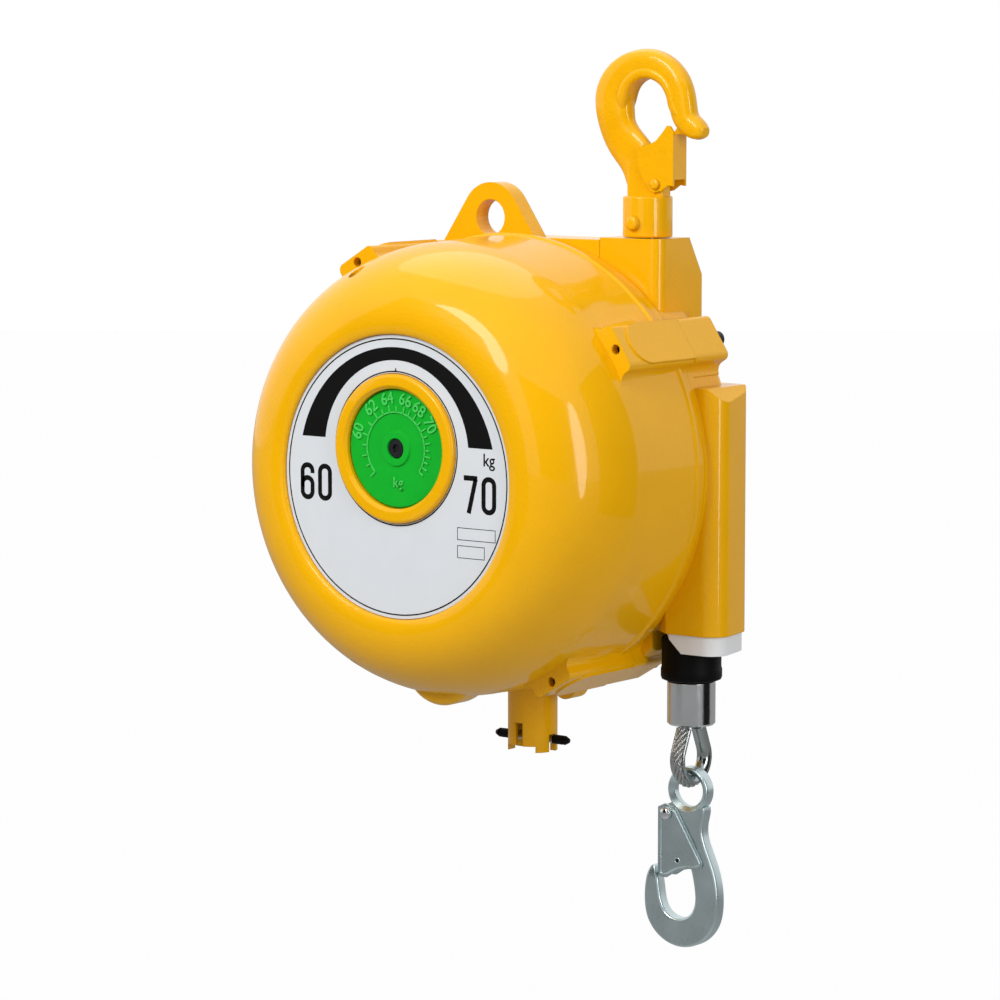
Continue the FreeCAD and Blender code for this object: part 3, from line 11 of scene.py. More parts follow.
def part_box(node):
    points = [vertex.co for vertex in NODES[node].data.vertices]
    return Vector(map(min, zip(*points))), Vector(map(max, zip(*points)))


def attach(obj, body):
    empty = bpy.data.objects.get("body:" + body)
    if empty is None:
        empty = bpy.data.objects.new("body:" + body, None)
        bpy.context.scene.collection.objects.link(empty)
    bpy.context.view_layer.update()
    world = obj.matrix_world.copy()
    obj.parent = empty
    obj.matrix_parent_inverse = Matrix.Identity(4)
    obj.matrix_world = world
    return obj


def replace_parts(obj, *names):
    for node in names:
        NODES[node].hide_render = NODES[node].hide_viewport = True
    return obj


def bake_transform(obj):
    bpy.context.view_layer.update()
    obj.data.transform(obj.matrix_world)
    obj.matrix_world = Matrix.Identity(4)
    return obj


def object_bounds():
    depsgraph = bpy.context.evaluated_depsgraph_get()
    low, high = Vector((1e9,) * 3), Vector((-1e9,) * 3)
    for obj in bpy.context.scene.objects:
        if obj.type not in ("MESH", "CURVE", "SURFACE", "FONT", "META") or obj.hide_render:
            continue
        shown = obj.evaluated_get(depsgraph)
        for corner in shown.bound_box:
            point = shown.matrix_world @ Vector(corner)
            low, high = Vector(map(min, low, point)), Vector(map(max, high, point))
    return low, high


bl_info = {
    "name": "Spring Balancer Dress",
    "version": (1, 0, 0),
    "blender": (4, 5, 0),
    "location": "View3D > Sidebar > Balancer",
    "description": "Finishes, print, wire rope and stage for a spring balancer",
    "category": "Object",
}

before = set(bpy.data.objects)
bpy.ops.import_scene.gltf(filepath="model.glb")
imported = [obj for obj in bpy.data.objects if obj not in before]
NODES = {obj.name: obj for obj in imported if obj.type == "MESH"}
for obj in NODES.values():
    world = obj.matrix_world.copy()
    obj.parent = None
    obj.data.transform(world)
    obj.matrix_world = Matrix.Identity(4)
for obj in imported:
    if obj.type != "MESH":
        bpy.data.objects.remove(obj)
CAD_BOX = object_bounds()

PLATE_LOW, PLATE_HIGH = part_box("dial_plate")
DIAL_LOW, DIAL_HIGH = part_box("load_dial")
FALL_LOW, FALL_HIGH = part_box("rope_fall")
SLEEVE_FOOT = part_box("rope_ferrule")[0].z
EYE_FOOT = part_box("rope_eye")[0].z
PLATE_CENTRE = (PLATE_LOW + PLATE_HIGH) / 2
DIAL_CENTRE = (DIAL_LOW + DIAL_HIGH) / 2
DIAL_RISE = DIAL_CENTRE.z - PLATE_CENTRE.z
PLATE_FACE = PLATE_LOW.y
FALL_MIDDLE = (FALL_LOW.x + FALL_HIGH.x) / 2
FALL_RADIUS = (FALL_HIGH.x - FALL_LOW.x) / 2
# height of the load hook's eye at rest, and how far the rope pays out
LOAD_EYE_Z = -0.4448
ROPE_TRAVEL = 1.51

MM = 0.001
ALONG_X, ALONG_Y = np.array([1.0, 0.0, 0.0]), np.array([0.0, 1.0, 0.0])
# share of a bar's radius that is left where its end is drawn in to a point
POINTED = 0.02
# turns of a wire round its strand for each turn of the strand, the other way round
WIRE_TURNS = -2.6
# how far the rope's core reaches under the strands, in strand radii
CORE_REACH = 1.1
# lift of the print over the plate and its thickness
PRINT_LIFT, PRINT_THICK = 0.02 * MM, 0.06 * MM


class BalancerColours(bpy.types.PropertyGroup):
    """Colours of the finishes, as they look under plain light."""

    paint: FloatVectorProperty(name="Case paint", description="Yellow enamel on castings and forgings",
                               subtype="COLOR", default=(0.86, 0.43, 0.0008), min=0, max=1)
    dial: FloatVectorProperty(name="Dial", description="Moulded green of the load dial",
                              subtype="COLOR", default=(0.003, 0.42, 0.022), min=0, max=1)
    plate: FloatVectorProperty(name="Plate", description="Printed ground of the dial plate",
                               subtype="COLOR", default=(0.66, 0.69, 0.72), min=0, max=1)
    print_black: FloatVectorProperty(name="Print", description="Black print on the dial plate",
                                     subtype="COLOR", default=(0.003, 0.003, 0.003), min=0, max=1)
    guide: FloatVectorProperty(name="Cable guide", description="White nylon of the cable guide",
                               subtype="COLOR", default=(0.80, 0.81, 0.82), min=0, max=1)
    zinc: FloatVectorProperty(name="Zinc", description="Bluish zinc plating of the load hook",
                              subtype="COLOR", default=(0.60, 0.71, 0.73), min=0, max=1)
    rubber: FloatVectorProperty(name="Rubber", description="Black rubber of the stop and the end caps",
                                subtype="COLOR", default=(0.002, 0.002, 0.002), min=0, max=1)


class BalancerSizes(bpy.types.PropertyGroup):
    """Sizes of print and wire rope."""

    numeral_height: FloatProperty(name="Plate numerals", description="Height of the large numerals",
                                  unit="LENGTH", default=0.0231)
    dial_numeral: FloatProperty(name="Dial numerals", description="Height of the numerals on the dial",
                                unit="LENGTH", default=0.0078)
    rope_radius: FloatProperty(name="Rope radius", description="Half the thickness of the laid rope",
                               unit="LENGTH", default=0.0037)
    eye_bend: FloatProperty(name="Eye bend", description="Radius of the eye's middle line",
                            unit="LENGTH", default=0.0152)
    leg_apart: FloatProperty(name="Legs apart", unit="LENGTH", default=0.0070,
                             description="Half the distance of the eye's legs at the sleeve")
    rope_strands: IntProperty(name="Strands", description="Outer strands of the wire rope", default=7)
    strand_wires: IntProperty(name="Wires", description="Outer wires of each strand", default=6)
    rope_lay: FloatProperty(name="Lay length", description="Length of one turn of a strand round the rope",
                            unit="LENGTH", default=0.034)


def colours():
    """The scene's colours."""
    return bpy.context.scene.balancer_colours


def sizes():
    """The scene's sizes of print and rope."""
    return bpy.context.scene.balancer_sizes


# ---------------------------------------------------------------- meshes


def placed(name, mesh, body):
    """An object for a mesh, riding on a body if one is named."""
    piece = bpy.data.objects.new(name, mesh)
    bpy.context.scene.collection.objects.link(piece)
    if body:
        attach(piece, body)
    return piece


def mesh_piece(name, points, faces, body, slot, material, smooth=True):
    """A piece from an array of points and an array of equal-sided faces."""
    mesh = bpy.data.meshes.new(name)
    mesh.from_pydata(np.asarray(points, float).reshape(-1, 3), [], np.asarray(faces).tolist())
    mesh.polygons.foreach_set("use_smooth", np.full(len(mesh.polygons), smooth))
    mesh.update()
    mesh.materials.append(material)
    return placed(name, mesh, body)


def joined(*forms):
    """One array of points and one of faces from several (points, faces)."""
    firsts = np.cumsum([0] + [len(points) for points, _ in forms[:-1]])
    return (np.concatenate([points for points, _ in forms]),
            np.concatenate([faces + first for (_, faces), first in zip(forms, firsts)]))


def net(rows, columns, wrap_rows=False, wrap_columns=True):
    """Quads between neighbours of a grid of points; a wrapped side joins its end to its start."""
    i, j = np.meshgrid(np.arange(rows - (0 if wrap_rows else 1)),
                       np.arange(columns - (0 if wrap_columns else 1)), indexing="ij")
    a, b = i * columns + j, i * columns + (j + 1) % columns
    c, d = ((i + 1) % rows) * columns + (j + 1) % columns, ((i + 1) % rows) * columns + j
    return np.stack([a, b, c, d], -1).reshape(-1, 4)


def frames_along(route, up):
    """Unit normal and binormal at each point of a route: the normal is up less its share along the
    tangent, and the binormal is square to both."""
    tangent = np.gradient(route, axis=0)
    tangent /= np.linalg.norm(tangent, axis=1, keepdims=True)
    normal = up - tangent * (tangent @ up)[:, None]
    normal /= np.linalg.norm(normal, axis=1, keepdims=True)
    return normal, np.cross(tangent, normal)


def circles(route, reach, sides, up):
    """Circles carried along a route: its point plus the reach there times (normal times cosine plus
    binormal times sine) of the angle."""
    angle = np.linspace(0, 2 * math.pi, sides, endpoint=False)
    normal, binormal = frames_along(route, up)
    ring = (normal[:, None] * np.cos(angle)[None, :, None]
            + binormal[:, None] * np.sin(angle)[None, :, None])
    return (route[:, None] + ring * reach[:, None, None]).reshape(-1, 3)


def tubes(routes, radius, sides, up):
    """Round bars along several routes: a circle of the radius is carried along each, ends closed
    by drawing the first and last circles in to their centres."""
    forms = []
    for route in routes:
        reach = np.full(len(route), radius)
        reach[[0, -1]] = radius * POINTED
        forms.append((circles(route, reach, sides, up), net(len(route), sides)[:, ::-1]))
    return joined(*forms)


def packed(radius, count):
    """Radius of each of several equal bars that stand in a ring inside a circle and touch: the
    circle's radius times s over one plus s, where s is the sine of pi over their count."""
    share = math.sin(math.pi / count)
    return radius * share / (1 + share)


def laid_rope(route, radius, strands, wires, lay):
    """Routes of every outer wire, a wire's radius and a strand's: each strand winds round the
    rope's route at a fixed distance, and each wire winds the other way round its strand."""
    along = np.concatenate([[0], np.cumsum(np.linalg.norm(np.diff(route, axis=0), axis=1))])
    normal, binormal = frames_along(route, ALONG_X)
    strand_radius = packed(radius, strands)
    wire_radius = packed(strand_radius, wires)
    turn = 2 * math.pi * along / lay
    routes = []
    for s in range(strands):
        phase = turn + 2 * math.pi * s / strands
        out = normal * np.cos(phase)[:, None] + binormal * np.sin(phase)[:, None]
        heart = route + out * (radius - strand_radius)
        across, beside = frames_along(heart, ALONG_X)
        for w in range(wires):
            spin = WIRE_TURNS * turn + 2 * math.pi * w / wires + s
            aside = across * np.cos(spin)[:, None] + beside * np.sin(spin)[:, None]
            routes.append(heart + aside * (strand_radius - wire_radius))
    return routes, wire_radius, strand_radius


def rope_form(route, radius, swell):
    """Points and faces of a laid rope round a plain core, its wires thickened by a factor."""
    rope = sizes()
    routes, wire, strand = laid_rope(route, radius, rope.rope_strands, rope.strand_wires, rope.rope_lay)
    return joined(tubes(routes, wire * swell, 6, ALONG_X),
                  tubes([route], radius - strand * CORE_REACH, 12, ALONG_X))


def on_plate(outline, y):
    """Points of an outline (n, 2) of x and z, counted from the plate's centre, at one place y."""
    return np.stack([PLATE_CENTRE.x + outline[:, 0], np.full(len(outline), y),
                     PLATE_CENTRE.z + outline[:, 1]], -1)


def band_on_plate(name, outer, inner, body, slot, material, lift, high, closed=True, face=None):
    """A thin raised band between two outlines (n, 2) of x and z: two walls and a face in front."""
    foot = (PLATE_FACE if face is None else face) - lift
    points = np.stack([on_plate(outline, foot + y)
                       for outline, y in ((inner, 0.0), (inner, -high), (outer, -high), (outer, 0.0))])
    n = len(outer)
    faces = net(4, n, wrap_rows=True, wrap_columns=closed)
    if not closed:
        caps = np.array([[0, n, 2 * n, 3 * n], [4 * n - 1, 3 * n - 1, 2 * n - 1, n - 1]])
        faces = np.concatenate([faces, caps])
    return mesh_piece(name, points, faces, body, slot, material, smooth=False)


def arc(radius, start, stop, count, x=0.0, z=0.0):
    """Points of an arc in x and z: centre plus radius times cosine and sine of the angle."""
    angle = np.radians(np.linspace(start, stop, count))
    return np.stack([x + radius * np.cos(angle), z + radius * np.sin(angle)], -1)


def ribbon(line, wide, closed=False):
    """Outlines on both sides of a centre line (n, 2), half the width away along its normal."""
    if closed:
        along = np.roll(line, -1, 0) - np.roll(line, 1, 0)
    else:
        along = np.gradient(line, axis=0)
    along /= np.linalg.norm(along, axis=1, keepdims=True)
    aside = np.stack([-along[:, 1], along[:, 0]], -1) * wide / 2
    return line - aside, line + aside


def round_loop(wide, high, corner, x, z, count=10):
    """A closed rounded rectangle about (x, z): quarter circles joined by straight sides."""
    parts = []
    for sx, sz, start in ((1, 1, 0), (-1, 1, 90), (-1, -1, 180), (1, -1, 270)):
        centre = x + sx * (wide / 2 - corner), z + sz * (high / 2 - corner)
        parts.append(arc(corner, start, start + 90, count, *centre))
    return np.concatenate(parts)


def numeral_strokes(digit, high, x, z):
    """Centre lines of a condensed numeral about (x, z), with whether each is closed. Its width, its
    corners and its ends are shares of its height."""
    wide, corner = high * 0.40, high * 0.19
    top, left, right = z + high / 2, x - wide / 2, x + wide / 2
    if digit == "0":
        return [(round_loop(wide, high, corner, x, z), True)]
    if digit == "7":
        foot = np.linspace([x - wide * 0.16, z - high / 2 - high * 0.07], [right, top - high * 0.02], 12)
        bar = np.linspace([left - high * 0.05, top], [right + high * 0.065, top], 6)
        return [(bar, False), (foot, False)]
    bowl = high * 0.60
    stem = np.linspace([left, z - high / 2 + bowl / 2], [left, top - corner], 8)[:-1]
    over = arc(corner, 180, 90, 12, left + corner, top - corner)
    turn = arc(corner, 90, 0, 12, right - corner, top - corner)
    end = np.linspace([right, top - corner], [right, top - corner - high * 0.06], 3)[1:]
    return [(round_loop(wide, bowl, corner, x, z - high / 2 + bowl / 2), True),
            (np.concatenate([stem, over, turn[1:], end]), False)]


def flat_text(name, words, high, centre, y, turn, body, slot, material, deep, narrow=1.0, weight=0.0):
    """Raised lettering: a text object is made a mesh, scaled to its height, turned and put in place
    on a plane that faces -Y."""
    curve = bpy.data.curves.new(name, "FONT")
    curve.body = words
    curve.align_x, curve.align_y = "CENTER", "CENTER"
    curve.extrude = deep / 2
    curve.offset = weight
    curve.resolution_u = 6
    text = bpy.data.objects.new(name + "_text", curve)
    bpy.context.scene.collection.objects.link(text)
    bpy.context.view_layer.update()
    mesh = bpy.data.meshes.new_from_object(text.evaluated_get(bpy.context.evaluated_depsgraph_get()))
    bpy.data.objects.remove(text)
    points = np.empty(len(mesh.vertices) * 3, np.float32)
    mesh.vertices.foreach_get("co", points)
    points = points.reshape(-1, 3).astype(float)
    low, high_corner = points.min(0), points.max(0)
    scale = high / (high_corner[1] - low[1])
    points[:, :2] -= (low[:2] + high_corner[:2]) / 2
    flat = points[:, :2] * np.array([scale * narrow, scale])
    c, s = math.cos(turn), math.sin(turn)
    x = flat[:, 0] * c - flat[:, 1] * s + centre[0]
    z = flat[:, 0] * s + flat[:, 1] * c + centre[1]
    points = np.stack([x, y - points[:, 2] - deep / 2, z], -1)
    mesh.vertices.foreach_set("co", points.astype(np.float32).ravel())
    mesh.update()
    mesh.materials.clear()
    mesh.materials.append(material)
    return placed(name, mesh, body)


# ---------------------------------------------------------------- materials


# over a size in millimetres, it gives a noise its scale per metre
PER_METRE = 1000.0


def add(tree, kind, **settings):
    """A shader node with its settings; a key that names an input sets that input's value."""
    node = tree.nodes.new(kind)
    for key, value in settings.items():
        if hasattr(node, key) and key not in node.inputs:
            setattr(node, key, value)
        else:
            node.inputs[key.replace("_", " ")].default_value = value
    return node


def group_tree(name, inputs, outputs):
    """An empty node group with float inputs (name, default) and outputs (name, kind)."""
    tree = bpy.data.node_groups.new(name, "ShaderNodeTree")
    for label, default in inputs:
        kind = "NodeSocketVector" if default is None else "NodeSocketFloat"
        socket = tree.interface.new_socket(label, in_out="INPUT", socket_type=kind)
        if default is not None:
            socket.default_value = default
    for label, kind in outputs:
        tree.interface.new_socket(label, in_out="OUTPUT", socket_type=kind)
    return tree, tree.nodes.new("NodeGroupInput"), tree.nodes.new("NodeGroupOutput")


def divided(tree, number, socket):
    """A number divided by a socket's value."""
    node = add(tree, "ShaderNodeMath", operation="DIVIDE")
    node.inputs[0].default_value = number
    tree.links.new(socket, node.inputs[1])
    return node.outputs[0]


def cast_skin_group():
    """Skin of a painted sand casting: fine pebbles, soft waves and a mask of where paint pooled."""
    tree, into, out = group_tree("Cast Skin", [("Vector", None), ("Pebble Size", 2.2), ("Wave Size", 16.0)],
                                 [("Height", "NodeSocketFloat"), ("Pool", "NodeSocketFloat")])
    link = tree.links.new
    pebble = add(tree, "ShaderNodeTexNoise", Detail=3.0, Roughness=0.55)
    wave = add(tree, "ShaderNodeTexNoise", Detail=2.0, Roughness=0.5)
    for node, size in ((pebble, "Pebble Size"), (wave, "Wave Size")):
        link(into.outputs["Vector"], node.inputs["Vector"])
        link(divided(tree, PER_METRE, into.outputs[size]), node.inputs["Scale"])
    mix = add(tree, "ShaderNodeMath", operation="MULTIPLY_ADD")
    mix.inputs[1].default_value = 1.4
    link(wave.outputs["Fac"], mix.inputs[0])
    link(pebble.outputs["Fac"], mix.inputs[2])
    link(mix.outputs[0], out.inputs["Height"])
    ramp = add(tree, "ShaderNodeMapRange", From_Min=0.35, From_Max=0.7)
    link(wave.outputs["Fac"], ramp.inputs["Value"])
    link(ramp.outputs[0], out.inputs["Pool"])
    return tree


def brushed_group():
    """Fine marks of machining or drawing: noise stretched along one axis."""
    tree, into, out = group_tree("Tool Marks", [("Vector", None), ("Mark Size", 0.4), ("Stretch", 12.0)],
                                 [("Height", "NodeSocketFloat"), ("Shade", "NodeSocketFloat")])
    link = tree.links.new
    stretch = add(tree, "ShaderNodeCombineXYZ", X=1.0, Y=1.0)
    link(divided(tree, 1.0, into.outputs["Stretch"]), stretch.inputs["Z"])
    squeezed = add(tree, "ShaderNodeVectorMath", operation="MULTIPLY")
    link(into.outputs["Vector"], squeezed.inputs[0])
    link(stretch.outputs[0], squeezed.inputs[1])
    noise = add(tree, "ShaderNodeTexNoise", Detail=3.0, Roughness=0.6)
    link(squeezed.outputs[0], noise.inputs["Vector"])
    link(divided(tree, PER_METRE, into.outputs["Mark Size"]), noise.inputs["Scale"])
    broad = add(tree, "ShaderNodeTexNoise", Scale=60.0, Detail=2.0)
    link(into.outputs["Vector"], broad.inputs["Vector"])
    link(noise.outputs["Fac"], out.inputs["Height"])
    link(broad.outputs["Fac"], out.inputs["Shade"])
    return tree


GROUPS = {}


def effect(tree, kind, **values):
    """Place a shared effect in a material, reading Object coordinates."""
    if kind not in GROUPS:
        GROUPS[kind] = {"cast": cast_skin_group, "marks": brushed_group}[kind]()
    node = tree.nodes.new("ShaderNodeGroup")
    node.node_tree = GROUPS[kind]
    where = add(tree, "ShaderNodeTexCoord")
    tree.links.new(where.outputs["Object"], node.inputs["Vector"])
    for key, value in values.items():
        node.inputs[key.replace("_", " ")].default_value = value
    return node


def new_material(name, metallic=0.0, coat=0.0, coat_rough=0.1, specular=0.5):
    """A material with a bare Principled shader; gives its tree and the shader."""
    material = bpy.data.materials.new(name)
    material.use_nodes = True
    tree = material.node_tree
    shader = tree.nodes["Principled BSDF"]
    shader.inputs["Metallic"].default_value = metallic
    shader.inputs["Coat Weight"].default_value = coat
    shader.inputs["Coat Roughness"].default_value = coat_rough
    shader.inputs["Specular IOR Level"].default_value = specular
    return material, tree, shader


def blend_colour(tree, mask, dark, light, shader):
    """Mix two colours by a mask into a shader's colour."""
    mix = add(tree, "ShaderNodeMix", data_type="RGBA")
    mix.inputs["A"].default_value = (*dark, 1)
    mix.inputs["B"].default_value = (*light, 1)
    tree.links.new(mask, mix.inputs["Factor"])
    tree.links.new(mix.outputs["Result"], shader.inputs["Base Color"])


def spread(tree, value, low, high, shader, from_low=0.3, from_high=0.7):
    """Map a mask onto a range of roughness."""
    node = add(tree, "ShaderNodeMapRange", From_Min=from_low, From_Max=from_high, To_Min=low, To_Max=high)
    tree.links.new(value, node.inputs["Value"])
    tree.links.new(node.outputs[0], shader.inputs["Roughness"])


def relief(tree, height, shader, depth, edge=0.0):
    """Bump from a height; edge rounds the light on sharp edges by that radius."""
    bump = add(tree, "ShaderNodeBump", Strength=1.0, Distance=depth)
    tree.links.new(height, bump.inputs["Height"])
    if edge > 0:
        bevel = add(tree, "ShaderNodeBevel", samples=6, Radius=edge)
        tree.links.new(bevel.outputs["Normal"], bump.inputs["Normal"])
    tree.links.new(bump.outputs["Normal"], shader.inputs["Normal"])


def tint(colour, factor):
    """A colour times a factor, held at 1."""
    return tuple(min(1.0, c * factor) for c in colour)


def painted(name, pebble, wave, depth, rough, edge):
    """Yellow enamel: the paint's colour deepens a little where it pooled."""
    material, tree, shader = new_material(name, coat=0.55, coat_rough=0.07, specular=0.06)
    skin = effect(tree, "cast", Pebble_Size=pebble, Wave_Size=wave)
    paint = tuple(colours().paint)
    blend_colour(tree, skin.outputs["Pool"], tint(paint, 0.965), paint, shader)
    spread(tree, skin.outputs["Height"], rough, rough + 0.08, shader, from_low=0.8, from_high=1.6)
    relief(tree, skin.outputs["Height"], shader, depth, edge=edge)
    return material


def metal(name, colour, rough, mark=0.4, stretch=8.0, depth=0.00003, edge=0.0004, dark=0.75, vary=0.14):
    """Bare or plated metal with fine tool marks: mark is their size in millimetres and stretch their
    length over it, dark is how deep the colour goes and vary how far the roughness rises."""
    material, tree, shader = new_material(name, metallic=1.0)
    marks = effect(tree, "marks", Mark_Size=mark, Stretch=stretch)
    blend_colour(tree, marks.outputs["Shade"], tint(colour, dark), colour, shader)
    spread(tree, marks.outputs["Shade"], rough, rough + vary, shader)
    relief(tree, marks.outputs["Height"], shader, depth, edge=edge)
    return material


def plastic(name, colour, rough, depth, grain=0.5, edge=0.0004, specular=0.25, vary=0.96):
    """Moulded plastic or rubber with a faint grain, whose size is in millimetres."""
    material, tree, shader = new_material(name, specular=specular)
    skin = effect(tree, "cast", Pebble_Size=grain, Wave_Size=grain * 16)
    blend_colour(tree, skin.outputs["Pool"], tint(colour, vary), colour, shader)
    spread(tree, skin.outputs["Pool"], rough, rough + 0.08, shader, from_low=0, from_high=1)
    relief(tree, skin.outputs["Height"], shader, depth, edge=edge)
    return material


MATERIALS = {}


def make_materials():
    """Make every finish and keep it under its name."""
    c = colours()
    MATERIALS.update(
        cast_paint=painted("cast_enamel", pebble=2.2, wave=34.0, depth=0.00026, rough=0.30, edge=0.0012),
        forged_paint=painted("forged_enamel", pebble=2.6, wave=12.0, depth=0.00032, rough=0.28, edge=0.0008),
        plate=plastic("plate_ground", tuple(c.plate), 0.34, 0.00001, grain=0.8, vary=0.985),
        black=plastic("black_print", tuple(c.print_black), 0.5, 0.00001, grain=0.3, specular=0.1),
        dial=plastic("dial_green", tuple(c.dial), 0.4, 0.00002, specular=0.15),
        # the marks are the dial's own green plastic; their lighter green is a painted highlight on the raised
        # faces
        dial_mark=plastic("dial_mark_green", (0.06, 0.62, 0.10), 0.3, 0.00001, specular=0.35),
        guide=plastic("guide_nylon", tuple(c.guide), 0.42, 0.00003, grain=0.8),
        rubber=plastic("black_rubber", tuple(c.rubber), 0.5, 0.00006, grain=0.6, specular=0.1),
        zinc=metal("zinc_plate", tuple(c.zinc), 0.24, mark=0.5, stretch=1.0, depth=0.00004, dark=0.86),
        pressed=metal("pressed_sleeve", (0.78, 0.79, 0.80), 0.08, mark=0.35, stretch=14.0, dark=0.85,
                      vary=0.06),
        wire=metal("rope_wire", (0.52, 0.53, 0.52), 0.2, mark=0.3, stretch=1.0, depth=0.00001, edge=0.0),
        thimble=metal("thimble_strip", (0.46, 0.50, 0.50), 0.14, stretch=1.0, depth=0.00002),
        steel=metal("turned_steel", (0.55, 0.56, 0.58), 0.28),
        dark=metal("black_oxide", (0.045, 0.045, 0.05), 0.42),
        bronze=metal("bronze", (0.62, 0.38, 0.14), 0.3),
        brass=metal("brass", (0.80, 0.58, 0.24), 0.26),
        cast_aluminium=metal("cast_aluminium", (0.62, 0.63, 0.65), 0.36, mark=0.8, stretch=1.0,
                             depth=0.00008),
        spring=metal("blued_strip", (0.16, 0.18, 0.24), 0.34),
    )


NODE_FINISH = {
    "cast_paint": ["front_case", "rear_case", "lock_tube"],
    "forged_paint": ["upper_hook", "hook_latch", "hook_latch_rivet", "swivel_cross_pin"],
    "plate": ["dial_plate"], "dial": ["load_dial"], "guide": ["cable_guide"],
    "rubber": ["rope_stop", "lock_bar_caps"],
    "zinc": ["load_hook", "load_latch", "load_latch_rivet", "thimble"],
    "pressed": ["rope_ferrule"], "wire": ["rope_fall", "rope_turns", "rope_eye"],
    "steel": ["spring_arbor", "worm_rod", "spring_barrel", "barrel_cover", "lock_plunger", "lock_bar",
              "swivel_bolt", "swivel_nut", "thrust_washer", "dial_gear"],
    "dark": ["case_screws", "barrel_screws", "dial_screw"],
    "bronze": ["worm_wheel", "front_bearing", "rear_bearing"], "brass": ["dial_pinion"],
    "cast_aluminium": ["rope_drum"], "spring": ["mainspring"],
}


# ---------------------------------------------------------------- operators


class BALANCER_OT_finishes(bpy.types.Operator):
    """Make the finishes and give every part of the construction its own"""

    bl_idname = "balancer.finishes"
    bl_label = "Finishes"

    def execute(self, context):
        make_materials()
        dressed = set()
        for finish, names in NODE_FINISH.items():
            for name in names:
                node = NODES[name]
                node.data.materials.clear()
                node.data.materials.append(MATERIALS[finish])
                node.data.polygons.foreach_set("material_index", np.zeros(len(node.data.polygons), np.int32))
                node.data.polygons.foreach_set("use_smooth", np.ones(len(node.data.polygons), bool))
                weld = node.modifiers.new("join_facets", "WELD")
                weld.merge_threshold = 1e-6
                split = node.modifiers.new("keep_edges", "EDGE_SPLIT")
                split.split_angle = math.radians(33)
                split.use_edge_sharp = False
                dressed.add(name)
        missing = set(NODES) - dressed
        if missing:
            raise RuntimeError("no finish for %s" % sorted(missing))
        return {"FINISHED"}


class BALANCER_OT_plate_print(bpy.types.Operator):
    """Print on the dial plate: crescent, ring lines, numerals, unit and two blank boxes"""

    bl_idname = "balancer.plate_print"
    bl_label = "Plate Print"

    def execute(self, context):
        ink = dict(body="case", slot="silver_plate", material=MATERIALS["black"], lift=PRINT_LIFT,
                   high=PRINT_THICK)
        self.crescent(ink)
        self.lines(ink)
        self.numerals(ink)
        centre = (PLATE_CENTRE.x + 71.6 * MM, PLATE_CENTRE.z + 13.6 * MM)
        flat_text("unit_print", "kg", 10.2 * MM, centre, PLATE_FACE - PRINT_LIFT, 0.0, "case",
                  "silver_plate", ink["material"], PRINT_THICK, narrow=0.92, weight=0.010)
        return {"FINISHED"}

    def crescent(self, ink):
        """A band between two arcs: their centres have different heights, and both end level."""
        level = 21.5 * MM
        edges = []
        for rise, radius in ((3.5 * MM, 76.3 * MM), (15.8 * MM, 56.0 * MM)):
            start = math.degrees(math.asin((level - rise) / radius))
            edges.append(arc(radius, start, 180 - start, 97, z=rise))
        band_on_plate("crescent_print", *edges, closed=False, **ink)

    def lines(self, ink):
        """A ring by the plate's edge, a notched ring round the dial and two blank boxes. Sizes in mm."""
        for name, radius, wide, z in (("rim_line", 85.3, 0.85, 0.0), ("bezel_line", 47.7, 0.8, DIAL_RISE)):
            line = [arc(r * MM, 0, 360 - 360 / 144, 144, z=z) for r in (radius, radius - wide)]
            band_on_plate(name, *line, **ink)
        notch = np.array([[-0.7, 47.0], [0.7, 47.0], [0.25, 49.4], [-0.25, 49.4]]) * MM
        notch[:, 1] += DIAL_RISE
        band_on_plate("bezel_notch", notch, np.repeat(notch.mean(0)[None], 4, 0), **ink)
        inset = np.array([[1, 1], [-1, 1], [-1, -1], [1, -1]]) * 0.4 * MM
        for name, left, right, top, bottom in (("blank_box_high", 47.3, 76.3, -27.3, -35.0),
                                               ("blank_box_low", 47.3, 68.1, -38.2, -46.0)):
            corners = np.array([[left, bottom], [right, bottom], [right, top], [left, top]]) * MM
            band_on_plate(name, corners, corners + inset, **ink)

    def numerals(self, ink):
        """The two large numbers: bands of one width along the numerals' centre lines. Places in mm."""
        stroke, pitch = 3.1 * MM, 14.0
        high = sizes().numeral_height - stroke
        for name, digits, x, z in (("numeral_low", "60", -63.3, -6.7), ("numeral_high", "70", 64.3, -6.8)):
            for i, digit in enumerate(digits):
                place = (x + (i - 0.5) * pitch) * MM
                for j, (line, closed) in enumerate(numeral_strokes(digit, high, place, z * MM)):
                    inner, outer = ribbon(line, stroke, closed)
                    band_on_plate("%s_%d_%d" % (name, i, j), outer, inner, closed=closed, **ink)


